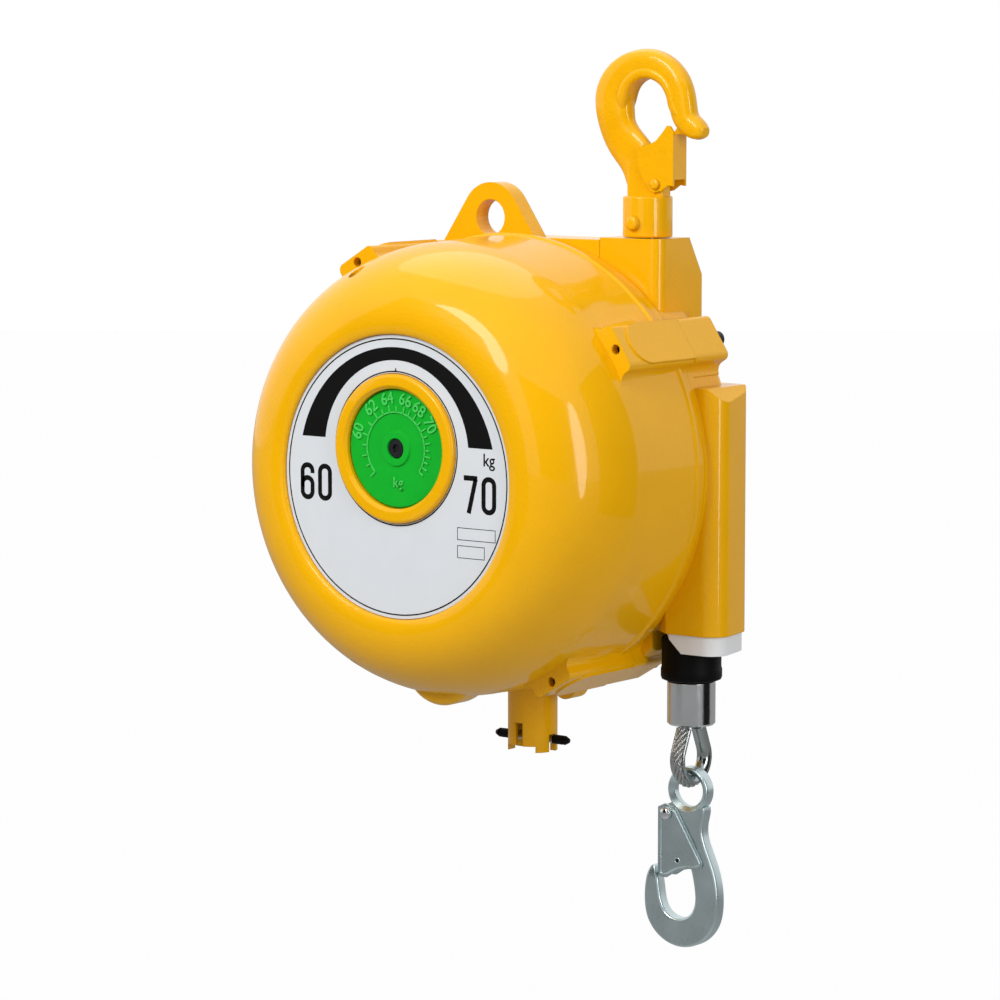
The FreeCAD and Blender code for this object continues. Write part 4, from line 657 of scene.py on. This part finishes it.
class BALANCER_OT_dial_marks(bpy.types.Operator):
    """Raised numerals, scale arc, ticks and unit on the load dial"""

    bl_idname = "balancer.dial_marks"
    bl_label = "Dial Marks"

    # the scale's ticks, in degrees; every other one is long, and those from the fifth are numbered
    TICKS = (223, 208, 193, 178, 162.6, 145, 128.7, 115, 102, 89, 75.6, 65, 53.9, 42, 30.3, 20, 10, 0, -9,
             -18, -27, -36)
    NUMBERS = ("60", "62", "64", "66", "68", "70")
    BASE, HIGH, HALF_LINE = 22.4 * MM, 0.8 * MM, 0.4 * MM
    LONG_TICK, SHORT_TICK = 4.6 * MM, 3.6 * MM
    NUMBER_REACH = 31.2 * MM

    def execute(self, context):
        face = dial_face()
        # the marks' lighter green is a painted highlight on their raised faces
        look = dict(body="dial", slot="green_plastic", material=MATERIALS["dial_mark"])
        arcs = [arc(r, self.TICKS[-1], self.TICKS[0], 121, z=DIAL_RISE)
                for r in (self.BASE + self.HALF_LINE, self.BASE - self.HALF_LINE)]
        band_on_plate("scale_arc", *arcs, closed=False, lift=0.0, high=self.HIGH, face=face, **look)
        self.ticks(face, look)
        for words, degrees in zip(self.NUMBERS, self.TICKS[4::2]):
            a = math.radians(degrees)
            centre = (DIAL_CENTRE.x + self.NUMBER_REACH * math.cos(a),
                      DIAL_CENTRE.z + self.NUMBER_REACH * math.sin(a))
            flat_text("dial_numeral_" + words, words, sizes().dial_numeral, centre, face, a - math.pi / 2,
                      deep=self.HIGH, narrow=0.92, weight=0.012, **look)
        centre = (DIAL_CENTRE.x + 2.0 * MM, DIAL_CENTRE.z - 21.5 * MM)
        flat_text("dial_unit", "kg", 8.2 * MM, centre, face, 0.0, deep=self.HIGH, weight=0.008, **look)
        return {"FINISHED"}

    def ticks(self, face, look):
        """Blocks that stand out from the scale arc, each between two radii and half a line wide on
        either side of its angle."""
        sides = np.array([[4, 5, 6, 7], [0, 1, 5, 4], [1, 2, 6, 5], [2, 3, 7, 6], [3, 0, 4, 7]])
        blocks = []
        for i, degrees in enumerate(self.TICKS):
            reach = self.BASE + (self.LONG_TICK if i % 2 == 0 else self.SHORT_TICK)
            a = math.radians(degrees)
            out = np.array([math.cos(a), math.sin(a)])
            side = np.array([-math.sin(a), math.cos(a)]) * self.HALF_LINE
            corner = np.array([out * self.BASE - side, out * reach - side, out * reach + side,
                               out * self.BASE + side])
            corner[:, 1] += DIAL_RISE
            block = np.concatenate([on_plate(corner, face), on_plate(corner, face - self.HIGH)])
            blocks.append((block, sides))
        mesh_piece("scale_ticks", *joined(*blocks), smooth=False, **look)


def dial_face():
    """The place of the dial's flat face: the foremost y of the points in its outer tenth."""
    mesh = NODES["load_dial"].data
    points = np.empty(len(mesh.vertices) * 3, np.float32)
    mesh.vertices.foreach_get("co", points)
    points = points.reshape(-1, 3)
    reach = np.hypot(points[:, 0] - DIAL_CENTRE.x, points[:, 2] - DIAL_CENTRE.z)
    ring = points[reach > 0.9 * (DIAL_HIGH.x - DIAL_LOW.x) / 2]
    return float(ring[:, 1].min())


class BALANCER_OT_wire_rope(bpy.types.Operator):
    """Stranded wire for the rope's eye and its fall, and the thimble's channel"""

    bl_idname = "balancer.wire_rope"
    bl_label = "Wire Rope"

    def execute(self, context):
        radius, wire_swell = sizes().rope_radius, 1.12
        route = eye_route()
        eye = mesh_piece("rope_eye_strands", *rope_form(route, radius, wire_swell), "rope_end",
                         "wire_rope", MATERIALS["wire"])
        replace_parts(eye, "rope_eye")
        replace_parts(self.thimble(route, radius), "thimble")
        self.fall()
        return {"FINISHED"}

    def fall(self):
        """The rope between the drum and the rope's end: strands laid round a straight middle line."""
        count = 140
        route = np.stack([np.full(count, FALL_MIDDLE), np.full(count, (FALL_LOW.y + FALL_HIGH.y) / 2),
                          np.linspace(FALL_HIGH.z, FALL_LOW.z, count)], -1)
        piece = mesh_piece("rope_fall_strands", *rope_form(route, FALL_RADIUS, 1.0), None, "wire_rope",
                           MATERIALS["wire"])
        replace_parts(piece, "rope_fall")
        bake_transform(piece)

    def thimble(self, route, radius):
        """A channel along the inside of the eye: a bent strip's section is carried along the rope's
        route, its lips flared, and both ends are closed."""
        wall, gap, lip_flare, lip_spread = 1.1 * MM, 0.1 * MM, 0.9 * MM, 1.06
        turn = np.radians(np.linspace(-86, 86, 17))
        inner, outer = [np.stack([-r * np.cos(turn), r * np.sin(turn)], -1)
                        for r in (radius + gap, radius + gap + wall)]
        for lip in (inner, outer):
            lip[[0, -1], 0] += lip_flare
            lip[[0, -1], 1] *= lip_spread
        section = np.concatenate([inner, outer[::-1]])
        ends_off = 6
        keep = route[ends_off:-ends_off]
        tangent = np.gradient(keep, axis=0)
        tangent /= np.linalg.norm(tangent, axis=1, keepdims=True)
        outward = np.cross(ALONG_X, tangent)
        outward *= np.sign((outward * (keep - keep.mean(0))).sum(1).sum())
        points = keep[:, None] + outward[:, None] * section[None, :, :1] + ALONG_X * section[None, :, 1:]
        rows, count = len(keep), len(section)
        faces = net(rows, count)
        half = count // 2
        strip = np.array([[i, i + 1, count - 2 - i, count - 1 - i] for i in range(half - 1)])
        faces = np.concatenate([faces, strip[:, ::-1], strip + (rows - 1) * count])
        piece = mesh_piece("thimble_channel", points, faces, "rope_end", "zinc_steel", MATERIALS["thimble"])
        outside(piece)
        return piece


class BALANCER_OT_forged_detail(bpy.types.Operator):
    """Beads on the upper hook's faces, domes on the rivets and pins, and the load latch's pressed rim"""

    bl_idname = "balancer.forged_detail"
    bl_label = "Forged Detail"

    def execute(self, context):
        paint = MATERIALS["forged_paint"]
        routes, reach = hook_bead_routes()
        for name, route in zip(("hook_bead_front", "hook_bead_back"), routes):
            outside(mesh_piece(name, *swelling_bar(route, reach, 20, ALONG_Y), "hook_swivel",
                               "yellow_paint", paint))
        for name, node, body, slot, finish, share, rise in DOMES:
            low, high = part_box(node)
            middle = np.array([(low.x + high.x) / 2, 0.0, (low.z + high.z) / 2])
            radius = (high.x - low.x) / 2
            for side, face, sign in (("front", low.y, -1.0), ("back", high.y, 1.0)):
                form = dome(middle + face * ALONG_Y, radius * share, radius * rise, sign)
                outside(mesh_piece("%s_%s" % (name, side), *form, body, slot, MATERIALS[finish]))
        self.latch_rim()
        return {"FINISHED"}

    def latch_rim(self):
        """A rim pressed along the latch's edge: a thin round bar follows its outline on both faces,
        and a short bar closed to a ring stands round the small hole; a dark disc in the hole is painted
        shade. Places in mm from the eye."""
        low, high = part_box("load_latch")
        origin = np.array([FALL_MIDDLE, 0.0, LOAD_EYE_Z])
        outline = np.array([(-18.6, -14.6), (-15.4, -11.9), (-9.8, -13.3), (-8.4, -13.9), (10.9, -45.0),
                            (10.5, -46.5), (8.2, -47.4), (2.2, -47.9), (-6.6, -50.4), (-14.0, -54.9),
                            (-18.6, -55.1)]) * MM
        edge = rounded_outline(outline, 1.6 * MM, 5)
        hole = np.array([-6.0 * MM, -45.2 * MM])
        turn = np.linspace(0, 2 * math.pi, 24, endpoint=False)
        ring = hole + 1.7 * MM * np.stack([np.cos(turn), np.sin(turn)], -1)
        for side, face, sign in (("front", low.y, -1.0), ("back", high.y, 1.0)):
            rim, eyelet = [
                origin + np.stack([line[:, 0], np.full(len(line), face + sign * proud), line[:, 1]], -1)
                for line, proud in ((edge, 0.1 * MM), (ring, 0.05 * MM))]
            form = joined(closed_bar(rim, 0.75 * MM, 10), closed_bar(eyelet, 0.4 * MM, 8))
            outside(mesh_piece("latch_rim_" + side, *form, "load_latch", "zinc_steel", MATERIALS["zinc"]))
            # a dark disc in the hole is painted shade, standing in for the shadow inside it
            centre = origin + np.array([hole[0], face, hole[1]])
            outside(mesh_piece("latch_hole_shade_" + side, *dome(centre, 1.5 * MM, 0.12 * MM, sign), "load_latch",
                               "zinc_steel", MATERIALS["dark"]))


def hook_bead_routes():
    """Middle lines of the raised beads on the upper hook's two faces, and the beads' thickness along
    them: they follow the hook's inner edge round the bore and out along the tip. Places in mm."""
    degrees = np.linspace(203, 2, 90)
    bore = np.interp(degrees, (2, 28, 56, 84, 112, 140, 170, 203),
                     (16.1, 15.6, 15.3, 15.2, 15.0, 14.4, 13.8, 14.3))
    turn = np.radians(degrees)
    reach = bore + 4.3
    line = np.stack([1.5 + reach * np.cos(turn), -15.2 + reach * np.sin(turn)], -1)
    tip = np.array([(22.6, -18.0), (24.6, -21.0), (27.2, -23.7), (30.2, -26.1), (33.4, -28.0), (36.6, -29.4)])
    line = np.concatenate([line, tip])
    # the line is smoothed and then spaced evenly
    for _ in range(4):
        line[1:-1] = (line[:-2] + 2 * line[1:-1] + line[2:]) / 4
    step = np.concatenate([[0], np.cumsum(np.linalg.norm(np.diff(line, axis=0), axis=1))])
    even = np.linspace(0, step[-1], 120)
    line = np.stack([np.interp(even, step, line[:, 0]), np.interp(even, step, line[:, 1])], -1)
    # the bead swells from both ends and sinks into the hook there
    share = np.linspace(0, 1, 120)
    swell = np.sin(np.pi / 2 * np.clip(np.minimum(share / 0.16, (1 - share) / 0.22), 0, 1)) ** 0.7
    lift = (np.interp(share, (0, 0.3, 1), (4.7, 4.4, 3.5)) - 2.6 * (1 - swell)) * MM
    routes = [np.stack([line[:, 0] * MM, sign * lift, line[:, 1] * MM], -1) for sign in (-1, 1)]
    return routes, (1.2 + 2.8 * swell) * MM


def swelling_bar(route, reach, sides, up):
    """A round bar whose radius changes along its route: circles of the given radii are carried along
    it, and its ends are closed to points."""
    radius = reach.copy()
    radius[[0, -1]] *= POINTED
    return circles(route, radius, sides, up), net(len(route), sides)


def closed_bar(route, radius, sides):
    """A round bar along a closed flat route in an XZ plane, its last circle joined to its first."""
    ahead = np.roll(route, -1, axis=0) - np.roll(route, 1, axis=0)
    ahead /= np.linalg.norm(ahead, axis=1, keepdims=True)
    aside = np.cross(ahead, ALONG_Y)
    angle = np.linspace(0, 2 * math.pi, sides, endpoint=False)
    ring = aside[:, None] * np.cos(angle)[None, :, None] + ALONG_Y * np.sin(angle)[None, :, None]
    return (route[:, None] + ring * radius).reshape(-1, 3), net(len(route), sides, wrap_rows=True)


def rounded_outline(corners, radius, count):
    """A closed outline with each corner cut by a parabola that starts and ends a radius away."""
    before, after = np.roll(corners, 1, axis=0) - corners, np.roll(corners, -1, axis=0) - corners
    reach = [np.minimum(radius, np.linalg.norm(v, axis=1, keepdims=True) * 0.45) for v in (before, after)]
    start = corners + before / np.linalg.norm(before, axis=1, keepdims=True) * reach[0]
    stop = corners + after / np.linalg.norm(after, axis=1, keepdims=True) * reach[1]
    u = np.linspace(0, 1, count)[None, :, None]
    curves = (1 - u) ** 2 * start[:, None] + 2 * u * (1 - u) * corners[:, None] + u ** 2 * stop[:, None]
    return curves.reshape(-1, 2)


def dome(centre, radius, rise, sign):
    """A flat-based dome facing along Y: circles whose radius falls as a cosine and whose height
    grows as a sine, closed at its crown and sunk a little at its base."""
    sides, sunk, pole = 32, 0.15, 0.004
    climb = np.linspace(0, math.pi / 2, 9)
    lift = np.concatenate([[-sunk * rise], np.sin(climb) * rise])
    wide = np.concatenate([[radius], np.cos(climb) * radius])
    wide[-1] = radius * pole
    angle = np.linspace(0, 2 * math.pi, sides, endpoint=False)
    x = wide[:, None] * np.cos(angle)[None, :]
    z = wide[:, None] * np.sin(angle)[None, :]
    y = np.broadcast_to(sign * lift[:, None], x.shape)
    base = np.stack([x[0] * pole, y[0], z[0] * pole], -1)[None]
    grid = np.concatenate([base, np.stack([x, y, z], -1)])
    return (np.asarray(centre) + grid).reshape(-1, 3), net(len(grid), sides)


# name, node it sits on, body, slot, finish, shares of the head's radius for the dome's radius and rise
DOMES = (("latch_rivet_dome", "hook_latch_rivet", "hook_swivel", "yellow_paint", "forged_paint", 0.94, 0.32),
         ("cross_pin_dome", "swivel_cross_pin", "hook_swivel", "yellow_paint", "forged_paint", 0.94, 0.34),
         ("load_rivet_dome", "load_latch_rivet", "load_hook", "zinc_steel", "pressed", 0.86, 0.34))


def outside(piece):
    """Turn a closed piece's faces outward."""
    form = bmesh.new()
    form.from_mesh(piece.data)
    bmesh.ops.recalc_face_normals(form, faces=form.faces)
    form.to_mesh(piece.data)
    form.free()


def eye_route():
    """Middle line of the rope's eye in the YZ plane: two legs from the sleeve and an arc below, which
    the legs touch. The touching angle is the legs' bearing less the arc cosine of bend over reach."""
    bend, apart, inside = sizes().eye_bend, sizes().leg_apart, 0.6 * MM
    turns, steps = 160, 40
    centre, top = EYE_FOOT + FALL_RADIUS + bend, SLEEVE_FOOT + inside
    reach = math.hypot(top - centre, apart)
    touch = math.atan2(top - centre, apart) - math.acos(bend / reach)
    turn = np.linspace(touch, -math.pi - touch, turns)
    loop = np.stack([np.full(turns, FALL_MIDDLE), bend * np.cos(turn), centre + bend * np.sin(turn)], -1)
    lead = np.linspace(0, 1, steps, endpoint=False)[:, None]
    first, last = np.array([FALL_MIDDLE, apart, top]), np.array([FALL_MIDDLE, -apart, top])
    return np.concatenate([first + (loop[0] - first) * lead, loop,
                           loop[-1] + (last - loop[-1]) * (lead + 1 / steps)])


# lamp or board, its place towards the camera, to the right and above, its width and height, and watts
LAMPS = (("key_lamp", 1.2, -1.3, 1.1, 1.2, 1.2, 32.0), ("fill_lamp", 1.5, 1.2, 0.2, 0.45, 1.5, 11.5),
         ("top_lamp", -0.6, -0.1, 1.7, 1.6, 1.6, 9.0))
BOARDS = (("left_flag", 0.7, -1.5, 0.42, 1.1, 1.78), ("right_flag", 0.3, 1.6, 0.38, 1.2, 1.86),
          ("camera_flag", 3.0, 0.2, 0.60, 3.0, 2.2))


def mixed(tree, mask, first, second, out):
    """Mix two shaders by a mask node into an output's surface."""
    mix = add(tree, "ShaderNodeMixShader")
    tree.links.new(mask.outputs[0], mix.inputs["Fac"])
    tree.links.new(first.outputs[0], mix.inputs[1])
    tree.links.new(second.outputs[0], mix.inputs[2])
    tree.links.new(mix.outputs[0], out.inputs["Surface"])


class BALANCER_OT_stage(bpy.types.Operator):
    """Pale floor, soft lamps, white surroundings and the camera"""

    bl_idname = "balancer.stage"
    bl_label = "Stage"

    def flag(self, name, place, target, wide, high):
        """An upright dark board that faces a target and shows in gloss only."""
        mesh = bpy.data.meshes.new(name)
        w, h = wide / 2, high / 2
        mesh.from_pydata([(-w, -h, 0), (w, -h, 0), (w, h, 0), (-w, h, 0)], [], [(0, 1, 2, 3)])
        mesh.materials.append(dark_board())
        board = bpy.data.objects.new(name, mesh)
        bpy.context.scene.collection.objects.link(board)
        board.location = place
        board.rotation_euler = (place - target).to_track_quat("Z", "Y").to_euler()
        board.visible_camera = board.visible_diffuse = board.visible_shadow = False

    def execute(self, context):
        scene = context.scene
        self.floor(scene)
        self.surroundings(scene)
        # the middle of the view and its axes: back towards the camera, right and above
        middle = Vector((-0.0024, -0.150, -0.2502))
        bearing, height, distance = math.radians(37.05), math.radians(6.49), 2.4
        back = Vector((math.sin(bearing) * math.cos(height), -math.cos(bearing) * math.cos(height),
                       math.sin(height)))
        right = Vector((math.cos(bearing), math.sin(bearing), 0))
        above = back.cross(right)
        # dark boards beside the set, seen in metal and gloss alone
        for name, ahead, aside, up, wide, high in BOARDS:
            lifted = middle + Vector((0, 0, up))
            self.flag(name, lifted + back * ahead + right * aside, lifted, wide, high)
        for name, ahead, aside, up, wide, high, watts in LAMPS:
            lamp = bpy.data.lights.new(name, "AREA")
            lamp.shape = "ELLIPSE"
            lamp.size, lamp.size_y = wide, high
            lamp.energy = watts
            item = bpy.data.objects.new(name, lamp)
            scene.collection.objects.link(item)
            item.location = middle + back * ahead + right * aside + above * up
            item.rotation_euler = (middle - item.location).to_track_quat("-Z", "Y").to_euler()

        lens = bpy.data.cameras.new("camera")
        lens.sensor_width = 36
        lens.lens = 144
        lens.clip_end = 30
        camera = bpy.data.objects.new("camera", lens)
        scene.collection.objects.link(camera)
        camera.location = middle + back * distance
        camera.rotation_euler = Matrix((right, above, back)).transposed().to_euler()
        scene.camera = camera
        scene.view_settings.view_transform = "Standard"
        return {"FINISHED"}

    def floor(self, scene):
        """A wide pale floor below the lowest place of the hook, which looks white to the camera."""
        material, tree, shader = new_material("pale_floor")
        noise = effect(tree, "cast", Pebble_Size=30.0, Wave_Size=400.0)
        blend_colour(tree, noise.outputs["Pool"], (0.54, 0.54, 0.54), (0.56, 0.56, 0.56), shader)
        shader.inputs["Roughness"].default_value = 0.9
        glow = add(tree, "ShaderNodeEmission", Color=(1, 1, 1, 1), Strength=1.0)
        rays = add(tree, "ShaderNodeLightPath")
        share = add(tree, "ShaderNodeMath", operation="MULTIPLY")
        share.inputs[1].default_value = 0.98
        tree.links.new(rays.outputs["Is Camera Ray"], share.inputs[0])
        mixed(tree, share, shader, glow, tree.nodes["Material Output"])
        half, low = 30.0, CAD_BOX[0][2] - ROPE_TRAVEL - 0.050
        mesh = bpy.data.meshes.new("floor")
        mesh.from_pydata([(-half, -half, low), (half, -half, low), (half, half, low), (-half, half, low)],
                         [], [(0, 1, 2, 3)])
        mesh.materials.append(material)
        floor = bpy.data.objects.new("floor", mesh)
        scene.collection.objects.link(floor)

    def surroundings(self, scene):
        """White surroundings, brighter to the camera and in gloss than as a light."""
        world = bpy.data.worlds.new("studio")
        scene.world = world
        world.use_nodes = True
        tree = world.node_tree
        ground = tree.nodes["Background"]
        ground.inputs["Color"].default_value = (1, 1, 1, 1)
        ground.inputs["Strength"].default_value = 0.55
        seen = add(tree, "ShaderNodeBackground", Color=(1, 1, 1, 1), Strength=1.0)
        rays = add(tree, "ShaderNodeLightPath")
        either = add(tree, "ShaderNodeMath", operation="ADD", use_clamp=True)
        both = add(tree, "ShaderNodeMath", operation="ADD", use_clamp=True)
        tree.links.new(rays.outputs["Is Camera Ray"], either.inputs[0])
        tree.links.new(rays.outputs["Is Transmission Ray"], either.inputs[1])
        tree.links.new(either.outputs[0], both.inputs[0])
        tree.links.new(rays.outputs["Is Glossy Ray"], both.inputs[1])
        mixed(tree, both, ground, seen, tree.nodes["World Output"])


def dark_board():
    """Dull black for the boards."""
    material, tree, shader = new_material("board_black", specular=0.0)
    grain = effect(tree, "cast", Pebble_Size=8.0, Wave_Size=60.0)
    blend_colour(tree, grain.outputs["Pool"], (0.010, 0.010, 0.010), (0.012, 0.012, 0.012), shader)
    shader.inputs["Roughness"].default_value = 0.9
    return material


class BALANCER_PT_panel(bpy.types.Panel):
    """Lists the sizes, the colours and the steps"""

    bl_label = "Spring Balancer"
    bl_idname = "BALANCER_PT_panel"
    bl_space_type = "VIEW_3D"
    bl_region_type = "UI"
    bl_category = "Balancer"

    def draw(self, context):
        for group in (context.scene.balancer_colours, context.scene.balancer_sizes):
            for name in group.__annotations__:
                self.layout.prop(group, name)
        for step in STEPS:
            self.layout.operator(step.bl_idname)


STEPS = (BALANCER_OT_stage, BALANCER_OT_finishes, BALANCER_OT_plate_print, BALANCER_OT_dial_marks,
         BALANCER_OT_wire_rope, BALANCER_OT_forged_detail)
CLASSES = (BalancerColours, BalancerSizes, *STEPS, BALANCER_PT_panel)


def register():
    """Register the classes and give the scene its colours and sizes."""
    for item in CLASSES:
        bpy.utils.register_class(item)
    bpy.types.Scene.balancer_colours = PointerProperty(type=BalancerColours)
    bpy.types.Scene.balancer_sizes = PointerProperty(type=BalancerSizes)


def unregister():
    """Take away what register adds."""
    del bpy.types.Scene.balancer_sizes
    del bpy.types.Scene.balancer_colours
    for item in reversed(CLASSES):
        bpy.utils.unregister_class(item)


def main():
    """Call every step in order."""
    register()
    for step in STEPS:
        group, name = step.bl_idname.split(".")
        getattr(getattr(bpy.ops, group), name)()


if __name__ == "__main__":
    main()
